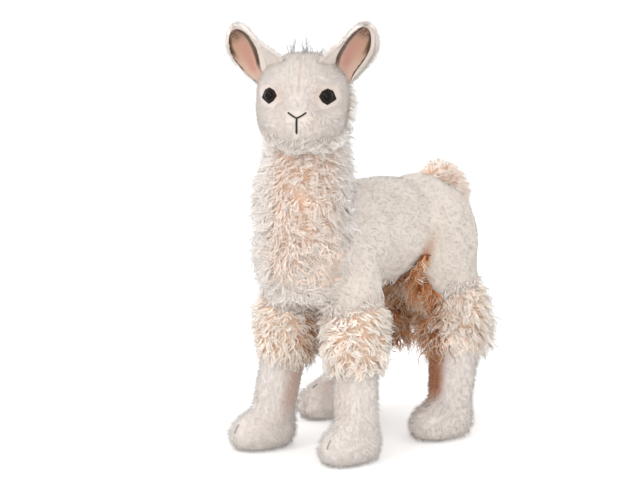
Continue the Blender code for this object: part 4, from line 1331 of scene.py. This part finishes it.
def suede():
    """Dark brown suede with a fine broken nap."""
    finish, tree, shader = new_material("brown_suede", 0.80, 0.15, 0.4)
    where = tree.nodes.new("ShaderNodeTexCoord").outputs["Object"]
    nap = ramp(tree, noise(tree, where, 600.0, 3.0, 0.6), 0.35, 0.70)
    colour = mix_colour(tree, nap, (0.009, 0.005, 0.004, 1), (0.026, 0.014, 0.010, 1))
    tree.links.new(colour, shader.inputs["Base Color"])
    add_relief(tree, shader, nap, 0.4, 0.0004)
    return finish


def eye_black():
    """Moulded black plastic: glossy, with the faintest brown in its depth."""
    finish, tree, shader = new_material("eye_black", 0.05)
    shader.inputs["Specular IOR Level"].default_value = 0.17
    where = tree.nodes.new("ShaderNodeTexCoord").outputs["Object"]
    depth = noise(tree, where, 90.0, 2.0, 0.5)
    colour = mix_colour(tree, depth, (0.002, 0.002, 0.002, 1), (0.008, 0.005, 0.004, 1))
    tree.links.new(colour, shader.inputs["Base Color"])
    return finish


SUEDE, EYE_BLACK = suede(), eye_black()


# %% [markdown]
# Each lid is a polar grid that the face's own surface carries, with its edge turned
# down. The dome is a little over half a ball, and its back is closed inside the head.

# %% Lids and domes


def make_lid(label, side):
    """A polar grid inside the lid's outline, laid on the face, its edge turned down."""
    turns = 64
    corners = np.concatenate([LID_CORNERS, LID_CORNERS[:1]])
    steps = np.linspace(0.0, len(LID_CORNERS), turns, endpoint=False)
    outline = np.stack([np.interp(steps, np.arange(len(corners)), corners[:, i]) for i in (0, 1)], -1)
    near = np.stack([np.roll(outline, 1, 0), np.roll(outline, -1, 0)]).mean(0)
    outline = 0.8 * outline + 0.2 * near
    soft = np.stack([np.roll(outline, k, 0) for k in range(-3, 4)]).mean(0)
    outline = 0.92 * outline + 0.08 * soft
    outline *= LID_SCALE
    shares = np.array([1.0, 1.0, 0.93, 0.8, 0.6, 0.35])
    lifts = np.array([-0.0012, 0.0002, 0.0008, 0.0011, 0.0012, 0.0012])
    flat = (shares[:, None, None] * outline[None]).reshape(-1, 2)
    lift = np.repeat(lifts, turns)
    centre = np.array([side * EYE_SIDE[side], EYE_UP])
    points, _ = on_face(centre[0] + side * flat[:, 0], centre[1] + flat[:, 1], lift)
    low, high = (on_face(centre[:1], centre[1:], np.array([h]))[0][0] for h in (-0.0020, 0.0012))
    lid = make_skin(label + "_lid", points.reshape(-1, turns, 3), low, high, SUEDE)
    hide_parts(label + "_eyelid")


def make_eye(label, side):
    """A dome r (sin a cos b, sin a sin b, cos a) sunk into the face, closed at its back."""
    turns = 48
    centre, normal = on_face(np.array([side * EYE_SIDE[side]]), np.array([EYE_UP]))
    centre, normal = centre[0], normal[0]
    across = unit(np.cross(Z_AXIS, normal))
    up = np.cross(normal, across)
    bend = np.linspace(0.0, 2.1, 20)[1:]
    angle = np.linspace(0.0, 2 * np.pi, turns, endpoint=False)
    ring = np.cos(angle)[:, None] * across + np.sin(angle)[:, None] * up
    grid = (
        centre
        - normal * EYE_RADIUS * 0.20
        + EYE_RADIUS * np.sin(bend)[:, None, None] * ring[None]
        + EYE_RADIUS * np.cos(bend)[:, None, None] * normal
    )
    top = centre + normal * EYE_RADIUS * 0.80
    back = centre - normal * EYE_RADIUS * 0.72
    eye = make_skin(label + "_eye_dome", grid, top, back, EYE_BLACK)
    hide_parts(label + "_eye")


for label, side in (("left", 1), ("right", -1)):
    make_lid(label, side)
    make_eye(label, side)


# %% [markdown]
# Behind each eye a pale lock washer holds the stem inside the head. It keeps the
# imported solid, because a moulded ring is already right, and gets only a finish.

# %% Washers


def washer_plastic():
    """Pale moulded plastic with the faint mottle and grain of recycled granulate."""
    finish, tree, shader = new_material("washer_plastic", 0.45)
    where = tree.nodes.new("ShaderNodeTexCoord").outputs["Object"]
    mottle = ramp(tree, noise(tree, where, 260.0, 3.0, 0.6), 0.3, 0.7)
    colour = mix_colour(tree, mottle, (0.62, 0.60, 0.56, 1), (0.74, 0.72, 0.68, 1))
    tree.links.new(colour, shader.inputs["Base Color"])
    add_relief(tree, shader, noise(tree, where, 1400.0, 2.0, 0.5), 0.15, 0.0002)
    return finish


WASHER_PLASTIC = washer_plastic()
for label in ("left", "right"):
    washer = nodes[label + "_eye_washer"]
    washer.data.materials.clear()
    washer.data.materials.append(WASHER_PLASTIC)

# %% [markdown]
# The nose and mouth are sewn with waxed black thread of two plies. A tube along a path
# with a twisted two-lobed section shows the plies. It sinks into the pile at its ends.

# %% Stitches
NOSE_THREAD, MOUTH_THREAD, TOE_THREAD = 0.00090, 0.00110, 0.00080
NOSE_HALF_WIDTH, NOSE_RISE, MOUTH_LENGTH = 0.0084, 0.0043, 0.0138
STITCH_LIFT = 0.0007


def thread(name, points, radius, finish, field=head_field, twist=0.0022):
    """A tube along points whose radius is r (0.82 + 0.18 cos 2(a - 2 pi s / pitch))."""
    points = np.asarray(points)
    gaps = np.linalg.norm(np.diff(points, axis=0), axis=1)
    length = np.concatenate([[0.0], np.cumsum(gaps)])
    even = np.linspace(0.0, length[-1], max(12, int(length[-1] / 0.00035)))
    path = np.stack([np.interp(even, length, points[:, i]) for i in range(3)], -1)
    way = unit(np.gradient(path, axis=0))
    guide = outward(field, path)
    side = unit(np.cross(way, guide))
    up = np.cross(side, way)
    angle = np.linspace(0.0, 2 * np.pi, 14, endpoint=False)[None]
    lobes = 0.82 + 0.18 * np.cos(2 * (angle - 2 * np.pi * even[:, None] / twist))
    taper = np.sqrt(np.clip(np.minimum(even, even[-1] - even) / radius, 0.05, 1.0))
    size = radius * lobes * taper[:, None]
    grid = path[:, None] + size[..., None] * (
        np.cos(angle)[..., None] * side[:, None] + np.sin(angle)[..., None] * up[:, None]
    )
    return make_skin(name, grid, path[0], path[-1], finish)


def thread_finish(name, low, high):
    """Twisted thread: fibres along it catch the light."""
    finish, tree, shader = new_material(name, 0.55)
    where = tree.nodes.new("ShaderNodeTexCoord").outputs["Object"]
    fibre = noise(tree, where, 1500.0, 2.0, 0.6)
    tree.links.new(mix_colour(tree, fibre, (*low, 1), (*high, 1)), shader.inputs["Base Color"])
    add_relief(tree, shader, fibre, 0.4, 0.0002)
    return finish


BLACK_THREAD = thread_finish("black_thread", (0.006, 0.005, 0.005), (0.030, 0.024, 0.022))
GREY_THREAD = thread_finish("grey_thread", (0.30, 0.29, 0.28), (0.46, 0.44, 0.42))

# %% [markdown]
# The nose is one wide V and the mouth hangs from its point. Each toe has one short
# stitch, found where rays from the middle of the foot meet its skin.

# %% Nose, mouth and toes
NOSE_UP = -MUZZLE_DROP + MUZZLE_HEIGHT * 0.18 + 0.0012
nose_x = np.linspace(-1.0, 1.0, 33)
nose_rise = NOSE_UP + NOSE_RISE * np.abs(nose_x) ** 1.2
nose_line, _ = on_face(nose_x * NOSE_HALF_WIDTH, nose_rise, np.full(33, STITCH_LIFT))
nose = thread("nose_thread", nose_line, NOSE_THREAD, BLACK_THREAD)
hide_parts("nose_stitch")
mouth_drop = NOSE_UP - 0.0002 - np.linspace(0.0, MOUTH_LENGTH, 20)
mouth_line, _ = on_face(np.zeros(20), mouth_drop, np.full(20, STITCH_LIFT))
mouth = thread("mouth_thread", mouth_line, MOUTH_THREAD, BLACK_THREAD)
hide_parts("mouth_stitch")

for leg_name in LEGS:
    ankle, turn = leg_places(leg_name)[2:]
    toe_way = np.array([math.sin(turn), -math.cos(turn), 0.0])
    middle = np.array([ankle[0], ankle[1], FOOT_HEIGHT * 0.45])
    middle = middle + toe_way * (FOOT_LENGTH / 2 - ANKLE_RADIUS)
    pitch = math.radians(48.0 if leg_name.startswith("hind") else 13.0)
    pitch = pitch + np.linspace(-0.5, 0.5, 9)[:, None] * TOE_STITCH_LENGTH / (FOOT_HEIGHT / 2)
    way = toe_way * np.cos(pitch) + Z_AXIS * np.sin(pitch)
    path = cast(leg_field(leg_name), np.tile(middle, (9, 1)), way, FOOT_LENGTH)
    path = path + STITCH_LIFT * outward(leg_field(leg_name), path)
    stitch = thread(leg_name + "_toe_thread", path, TOE_THREAD, GREY_THREAD, leg_field(leg_name))
    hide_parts(leg_name + "_toe_stitch")

# %% [markdown]
# The fur of the neck goes on up the back of the head and round the cheeks. Its roots
# are random points of the head's own skin, and a mask in the head's frame keeps those
# behind the cheeks.

# %% Nape fur
NAPE_LOCKS, CHIN_LOCKS, WISPS_BY_TUFT = 1500, 900, (16, 14, 16)


def scattered(points, faces, count, rng):
    """Random points on a mesh, spread by area: a + r(b - a) + s(c - a) in random triangles."""
    triangles = triangles_of(faces)
    a, b, c = (points[triangles[:, i]] for i in range(3))
    area = np.linalg.norm(np.cross(b - a, c - a), axis=1)
    pick = rng.choice(len(triangles), count, p=area / area.sum())
    r_share, s_share = rng.uniform(0.0, 1.0, (2, count, 1))
    over = r_share + s_share > 1.0
    r_share, s_share = np.where(over, 1 - r_share, r_share), np.where(over, 1 - s_share, s_share)
    return a[pick] + r_share * (b - a)[pick] + s_share * (c - a)[pick]


def on_skin(grid, first, last, count, rng):
    """Random points on a skin that was made from rings and poles."""
    points = np.concatenate([grid.reshape(-1, 3), [first, last]])
    return scattered(points, skin_faces(*grid.shape[:2]), count, rng)


rng = np.random.default_rng(41)
roots = on_skin(*head_surface, 12000, rng)
x, y, z = in_head(roots)
front_edge = -0.010 + 0.026 * eased(z, -0.014, 0.024)
front_edge = front_edge + (0.012 + 0.006 * eased(z, -0.006, 0.004)) * (x < 0.0)
behind = (y > front_edge + rng.uniform(-0.003, 0.003, len(roots))) & (z < 0.022)
jaw = (z < -0.030) & (y > -0.030) & (x > -0.016)
roots = roots[(behind | jaw) & (neck_field(roots) > -0.010)][:NAPE_LOCKS]
normals = outward(head_field, roots)
out = 0.35 + 0.45 * (roots[:, 0] > HEAD_CENTRE[0])
way = HEAD_AXES[:, 1] * 0.25 + np.stack(
    [out * normals[:, 0], out * normals[:, 1], np.full(len(roots), -0.65)], axis=-1
)
length = rng.uniform(0.0085, 0.0140, len(roots)) * (0.55 + 0.56 * out)
widths = (0.0008, 0.0014)
nape = grow_locks(
    "nape_curls", roots, normals, way, length, widths, FRINGE, rng, head_field, steps=4
)

# %% [markdown]
# Short pale locks hang from the chin and the jaw over the top of the neck's fur.

# %% Chin fringe
roots = on_skin(*head_surface, 12000, rng)
x, y, z = in_head(roots)
low_edge = -0.027 + rng.normal(0.0, 0.003, len(roots))
roots = roots[(z < low_edge) & (y < 0.004) & (neck_field(roots) > -0.012)][:CHIN_LOCKS]
normals = outward(head_field, roots)
way = 0.5 * normals - 0.9 * Z_AXIS
length = rng.uniform(0.004, 0.0085, len(roots))
widths, gap = (0.0005, 0.0010), 0.0003
fringe = grow_locks(
    "chin_fringe", roots, normals, way, length, widths, PALE_CURLS, rng, head_field, gap, rise=0.8
)

# %% [markdown]
# A few grey wisps stand up between the ears in three loose tufts, and the two on the
# right are the longer ones.

# %% Crown wisps
count = sum(WISPS_BY_TUFT)
tufts = zip((-0.0105, 0.0015, 0.0125), (0.0022, 0.0020, 0.0030), WISPS_BY_TUFT)
left = np.concatenate([rng.normal(middle, spread, many) for middle, spread, many in tufts])
top = HEAD_CENTRE + np.stack([left, rng.uniform(0.002, 0.012, count), 0 * left], -1) @ HEAD_AXES.T
crown = cast(head_field, top, np.tile(HEAD_AXES[:, 2], (count, 1)), 0.06)
normals = outward(head_field, crown)
flat = np.stack([rng.normal(0, 1, count), rng.normal(0, 1, count), 0 * left], -1)
length = np.where(left < 0.006, rng.uniform(0.007, 0.019, count), rng.uniform(0.004, 0.011, count))
stance = {"curl": 0.4, "rise": 1.50, "droop": -1.10, "draw": 0.7}
wisps = grow_locks(
    "crown_wisps", crown, normals, flat, length, (0.0005, 0.0009), WISPS, rng, **stance
)

# %% [markdown]
# The long fur doesn't stop at a line. Round the top of each band shorter pale locks
# stand on the body's skin.

# %% Soft edges of the bands
EDGE_LOCKS, FRINGE_LOCKS, BELLY_LOCKS = 330, 500, 2300
rng = np.random.default_rng(51)
skin_roots = on_skin(*body_surface, 60000, rng)
skin_roots = skin_roots[(flank_painted_shade(skin_roots) < 0.4) & (neck_field(skin_roots) > 0.001)]
for leg_name in LEGS:
    top = leg_places(leg_name)[0]
    height = skin_roots[:, 2] - top[2]
    level = np.linalg.norm((skin_roots - top)[:, :2], axis=1)
    reach = 0.004 + 0.006 * rng.uniform(0.0, 1.0, len(height)) ** 2
    close = (height > -0.016) & (height < reach) & (level < BAND_RADIUS + 0.004)
    roots = skin_roots[close][:EDGE_LOCKS]
    normals = outward(body_field, roots)
    way = np.stack([0.3 * normals[:, 0], 0.3 * normals[:, 1], np.full(len(roots), -1.0)], -1)
    length = rng.uniform(0.006, 0.0115, len(roots))
    name, widths = leg_name + "_band_edge_curls", (0.0007, 0.0012)
    edge = grow_locks(
        name, roots, normals, way, length, widths, PALE_CURLS, rng, body_field, rise=1.0
    )

# %% [markdown]
# A loose pale fringe hangs along the belly's lower edge, on both sides.

# %% Belly fringe
along = (skin_roots[:, 1] > FRONT_LEG_Y + 0.020) & (skin_roots[:, 1] < HIND_LEG_Y - 0.055)
low = skin_roots[:, 2] < TORSO_CENTRE_Z - TORSO_DEPTH / 2 + 0.020
roots = skin_roots[along & low & (np.abs(skin_roots[:, 0]) > 0.014)][:FRINGE_LOCKS]
normals = outward(body_field, roots)
way = -Z_AXIS + 0.2 * Y_AXIS
length = rng.uniform(0.010, 0.017, len(roots))
widths, gap = (0.0006, 0.0011), 0.0003
stance = {"curl": 0.6, "rise": 0.4, "droop": -0.3, "steps": 4}
fringe = grow_locks(
    "belly_fringe", roots, normals, way, length, widths, PALE_CURLS, rng, body_field, gap, **stance
)

# %% [markdown]
# Under the belly, and in the fold in front of each thigh, the long fur is brown as painted
# shade. It hangs between the hind legs, and its tips are pale.

# %% Belly fur
rng = np.random.default_rng(43)
roots = on_skin(*body_surface, 30000, rng)
share = flank_painted_shade(roots)
roots = roots[(share > rng.uniform(0.25, 0.75, len(roots))) & (roots[:, 2] < BAND_TOP + 0.030)]
bands = np.min([np.linalg.norm((roots - leg_places(n)[0])[:, :2], axis=1) for n in LEGS], axis=0)
roots = roots[bands > BAND_END_RADIUS * 0.8][:BELLY_LOCKS]
normals = outward(body_field, roots)
way = np.stack([0.25 * normals[:, 0], np.full(len(roots), -0.25), np.full(len(roots), -1.0)], -1)
length = rng.uniform(0.010, 0.022, len(roots))
length *= 1.0 + 0.45 * eased(roots[:, 1], HIND_LEG_Y - 0.070, HIND_LEG_Y - 0.045)
path, tone = lock_paths(roots, normals, brushed(normals, way), length, rng, rise=0.9, steps=4)
path = kept_out(path, body_field, 0.0004)
tan = rng.uniform(0.0, 1.0, len(roots)) < 0.30
width = rng.uniform(0.0009, 0.0016, len(roots))
parts = {"belly_brown_curls": (~tan, BROWN_CURLS), "belly_tan_curls": (tan, TAN_CURLS)}
locks_by_colour(parts, path, normals, width, tone)
print("belly roots:", len(roots), "from height", np.round(roots[:, 2].min(), 3))

# %% [markdown]
# The short pile is thousands of fine cones of four triangles, laid one way over each
# skin. They break up the outline, as a nap does against a pale background.

# %% Short pile
HEAD_FIBRES, BODY_FIBRES, LEG_FIBRES, EAR_FIBRES = 12500, 13000, 5200, 3000


def pile_mesh(name, roots, normals, lay, length, width, rise, finish, rng, facing=None):
    """Cones from a ring of three points at the root to a tip l (cos e lay + sin e normal) away."""
    count = len(roots)
    up = (rise * rng.uniform(0.6, 1.4, count))[:, None]
    sway = rng.normal(0.0, 0.35, count)[:, None]
    side = np.cross(normals, lay)
    heading = np.cos(sway) * lay + np.sin(sway) * side
    way = np.cos(up) * heading + np.sin(up) * normals
    across = unit(np.cross(way, normals))
    other = np.cross(across, way)
    ring = (
        np.cos(THREE_SIDES)[None, :, None] * across[:, None]
        + np.sin(THREE_SIDES)[None, :, None] * other[:, None]
    )
    base = (roots - 0.0002 * normals)[:, None] + width / 2 * ring
    points = np.concatenate([base, (roots + way * length[:, None])[:, None]], axis=1)
    points[..., 2] = np.maximum(points[..., 2], 0.0003)
    corners = np.array([[0, 1, 3], [1, 2, 3], [2, 0, 3], [2, 1, 0]])
    faces = [(corners[None] + 4 * np.arange(count)[:, None, None]).reshape(-1, 3)]
    tone = np.repeat(rng.uniform(0, 1, count), 4)
    uv = np.stack([tone, np.tile([0.1, 0.1, 0.1, 1.0], count)], -1)
    facing = normals if facing is None else facing
    lean = unit(np.repeat(facing, 4, axis=0) + 0.40 * np.repeat(way, 4, axis=0))
    piece = make_object(name, points.reshape(-1, 3), faces, finish, uv, lean)


# %% [markdown]
# On the face the pile is shortest and runs away from the nose. It leaves the eyes, the
# nose and the mouth clear.

# %% Pile of the head
rng = np.random.default_rng(47)
roots = on_skin(*head_surface, HEAD_FIBRES, rng)
x, y, z = in_head(roots)
clear = np.ones(len(roots), bool)
for side in (-1, 1):
    near_eye = np.hypot((x - side * EYE_SIDE[side]) / 0.0105, (z - EYE_UP) / 0.0095)
    clear &= (near_eye > 1.0) | (y > 0.0)
clear &= (np.abs(x) > 0.0022) | (z > -0.008) | (z < -0.026) | (y > 0.0)
clear &= (np.abs(x) > 0.0098) | (np.abs(z + 0.006) > 0.0045) | (y > 0.0)
roots = roots[clear]
normals = outward(head_field, roots)
away = roots - on_head(0.0, 0.045, -0.010)
pile_mesh(
    "head_pile",
    roots,
    normals,
    brushed(normals, away - 0.02 * Z_AXIS),
    rng.uniform(0.0022, 0.0040, len(roots)),
    0.00055,
    0.60,
    HEAD_PILE,
    rng,
)

# %% [markdown]
# The body's pile is brushed back and down. It stops where the neck's curls and the
# brown fur begin.

# %% Pile of the body
roots = on_skin(*body_surface, BODY_FIBRES, rng)
roots = roots[(neck_field(roots) > 0.0) & (flank_painted_shade(roots) < 0.6)]
normals = outward(body_field, roots)
pile_mesh(
    "body_pile",
    roots,
    normals,
    brushed(normals, 0.8 * Y_AXIS - 0.6 * Z_AXIS),
    rng.uniform(0.0022, 0.0038, len(roots)),
    0.00060,
    0.55,
    PILE,
    rng,
)

# %% [markdown]
# On the legs the pile is longest and stands out most, above all low on the feet. The front
# legs get a paler copy of the pile than the hind legs, as painted light and shade. The
# inner sides of the hind legs have brown fibres, as painted shade.

# %% Pile of the legs
for leg_name in LEGS:
    knee = leg_places(leg_name)[1]
    skin, inner_painted_shade = leg_skins[leg_name]
    roots = on_skin(*skin, LEG_FIBRES, rng)
    roots = roots[(roots[:, 2] > 0.0022) & (roots[:, 2] < knee[2] + 0.004)]
    roots = roots[inner_painted_shade(roots) < rng.uniform(0.15, 0.60, len(roots))]
    normals = outward(leg_field(leg_name), roots)
    low = 1.0 - eased(roots[:, 2], 0.018, 0.045)
    pile_mesh(
        leg_name + "_leg_pile",
        roots,
        normals,
        brushed(normals, -Z_AXIS - 0.3 * Y_AXIS),
        rng.uniform(0.0028, 0.0050, len(roots)) * (1.0 + 0.25 * low),
        0.00070,
        0.92,
        # Painted light and shade: front legs take the paler copy, hind legs the darker pile.
        LIT_LEG_PILE if leg_name.startswith("front") else PILE,
        rng,
    )
    # Brown fibres of painted shade on the hind legs' inner sides.
    shade_roots = on_skin(*skin, LEG_FIBRES, rng)
    shade_roots = shade_roots[(shade_roots[:, 2] > 0.016) & (shade_roots[:, 2] < knee[2] + 0.004)]
    shade_roots = shade_roots[inner_painted_shade(shade_roots) > rng.uniform(0.20, 0.95, len(shade_roots))]
    if leg_name.startswith("hind"):
        normals = outward(leg_field(leg_name), shade_roots)
        pile_mesh(
            leg_name + "_painted_shade_pile",
            shade_roots,
            normals,
            brushed(normals, -Z_AXIS - 0.3 * Y_AXIS),
            rng.uniform(0.0026, 0.0046, len(shade_roots)),
            0.00070,
            0.75,
            BROWN_CURLS,
            rng,
        )

# %% [markdown]
# Round an ear's rim the fibres fan out both ways across the edge, so the rim looks
# soft from in front and from behind.

# %% Pile of the ears
for label, side in (("left", 1), ("right", -1)):
    count = EAR_FIBRES
    v = 1.0 - rng.uniform(0.0, 1.0, count) ** 1.6 * 0.95
    u = np.sign(rng.uniform(-1.0, 1.0, count)) * rng.uniform(0.84, 1.0, count)
    height = EAR_THICKNESS * rng.uniform(0.0, 1.0, count)
    root = ear_surface(side, u, v, 1.0, 0.0, height)
    within = ear_surface(side, u * 0.7, np.clip(v - 0.06, 0, 1), 1.0, 0.0, height)
    open_way = unit(ear_surface(side, u, v, 1.0, 0.0, height + 0.001) - root)
    free = head_field(root) > 0.001
    root, out, open_way = root[free], unit(root - within)[free], open_way[free]
    ahead = rng.normal(0.15, 1.0, (len(root), 1))
    pile_mesh(
        label + "_ear_pile",
        root,
        out,
        brushed(out, open_way * ahead + 0.3 * Z_AXIS),
        rng.uniform(0.0025, 0.0062, len(root)),
        0.00065,
        1.1,
        EAR_PILE,
        rng,
        unit(out + 0.6 * np.sign(ahead) * open_way),
    )

# %% [markdown]
# The floor is plain and pale, and the background is white. The camera sees the floor
# a little brighter than it lights the toy, which keeps the shadow and hides the horizon.

# %% Stage and lights


def make_stage():
    """A floor that curves up into a backdrop: z = 0, then a quarter circle far behind."""
    across = np.linspace(-6.0, 6.0, 2)
    turn = np.linspace(0.0, np.pi / 2, 24)
    out = np.concatenate([[-4.0], 3.0 + 1.5 * np.sin(turn), [4.5]])
    up = np.concatenate([[0.0], 1.5 - 1.5 * np.cos(turn), [6.0]])
    far = Vector((-math.sin(AZIMUTH), math.cos(AZIMUTH), 0.0))
    side = Vector((far[1], -far[0], 0.0))
    points = [
        tuple(far * o + side * a + Vector((0, 0, u))) for o, u in zip(out, up) for a in across
    ]
    quads = [(2 * i, 2 * i + 1, 2 * i + 3, 2 * i + 2) for i in range(len(out) - 1)]
    mesh = bpy.data.meshes.new("floor")
    mesh.from_pydata(points, [], quads)
    mesh.shade_smooth()
    floor = bpy.data.objects.new("floor", mesh)
    scene.collection.objects.link(floor)
    finish = bpy.data.materials.new("pale_floor")
    finish.use_nodes = True
    tree = finish.node_tree
    shader = tree.nodes["Principled BSDF"]
    shader.inputs["Base Color"].default_value = (0.86, 0.85, 0.84, 1)
    shader.inputs["Roughness"].default_value = 0.9
    ray = tree.nodes.new("ShaderNodeLightPath")
    glow = tree.nodes.new("ShaderNodeMath")
    glow.operation = "MULTIPLY"
    glow.inputs[1].default_value = 0.32
    tree.links.new(ray.outputs["Is Camera Ray"], glow.inputs[0])
    shader.inputs["Emission Color"].default_value = (1, 1, 1, 1)
    tree.links.new(glow.outputs[0], shader.inputs["Emission Strength"])
    mesh.materials.append(finish)
    floor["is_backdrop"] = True


def add_light(name, place, aim, size, power):
    """A square soft light that faces a point."""
    data = bpy.data.lights.new(name, "AREA")
    data.shape = "SQUARE"
    data.size = size
    data.energy = power
    light = bpy.data.objects.new(name, data)
    scene.collection.objects.link(light)
    light.location = place
    light.rotation_euler = (Vector(aim) - Vector(place)).to_track_quat("-Z", "Y").to_euler()


make_stage()
world = bpy.data.worlds.new("studio")
scene.world = world
world.use_nodes = True
background = world.node_tree.nodes["Background"]
background.inputs["Color"].default_value = (1.0, 1.0, 1.0, 1)
background.inputs["Strength"].default_value = 1.0
add_light("key", (-0.4, -2.25, 2.35), (0, 0, 0.2), 1.3, 18)
add_light("fill", (1.45, -2.3, 0.80), (0, 0, 0.3), 0.40, 15)

# %% Finish
new_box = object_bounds()
boxes = {
    "cad": [list(map(float, corner)) for corner in cad_box],
    "visual": [list(map(float, corner)) for corner in new_box],
}
solid, dressed = (np.diff(boxes[label], axis=0)[0] for label in ("cad", "visual"))
print("dressed toy / solids along x, y and z:", np.round(dressed / solid, 4))
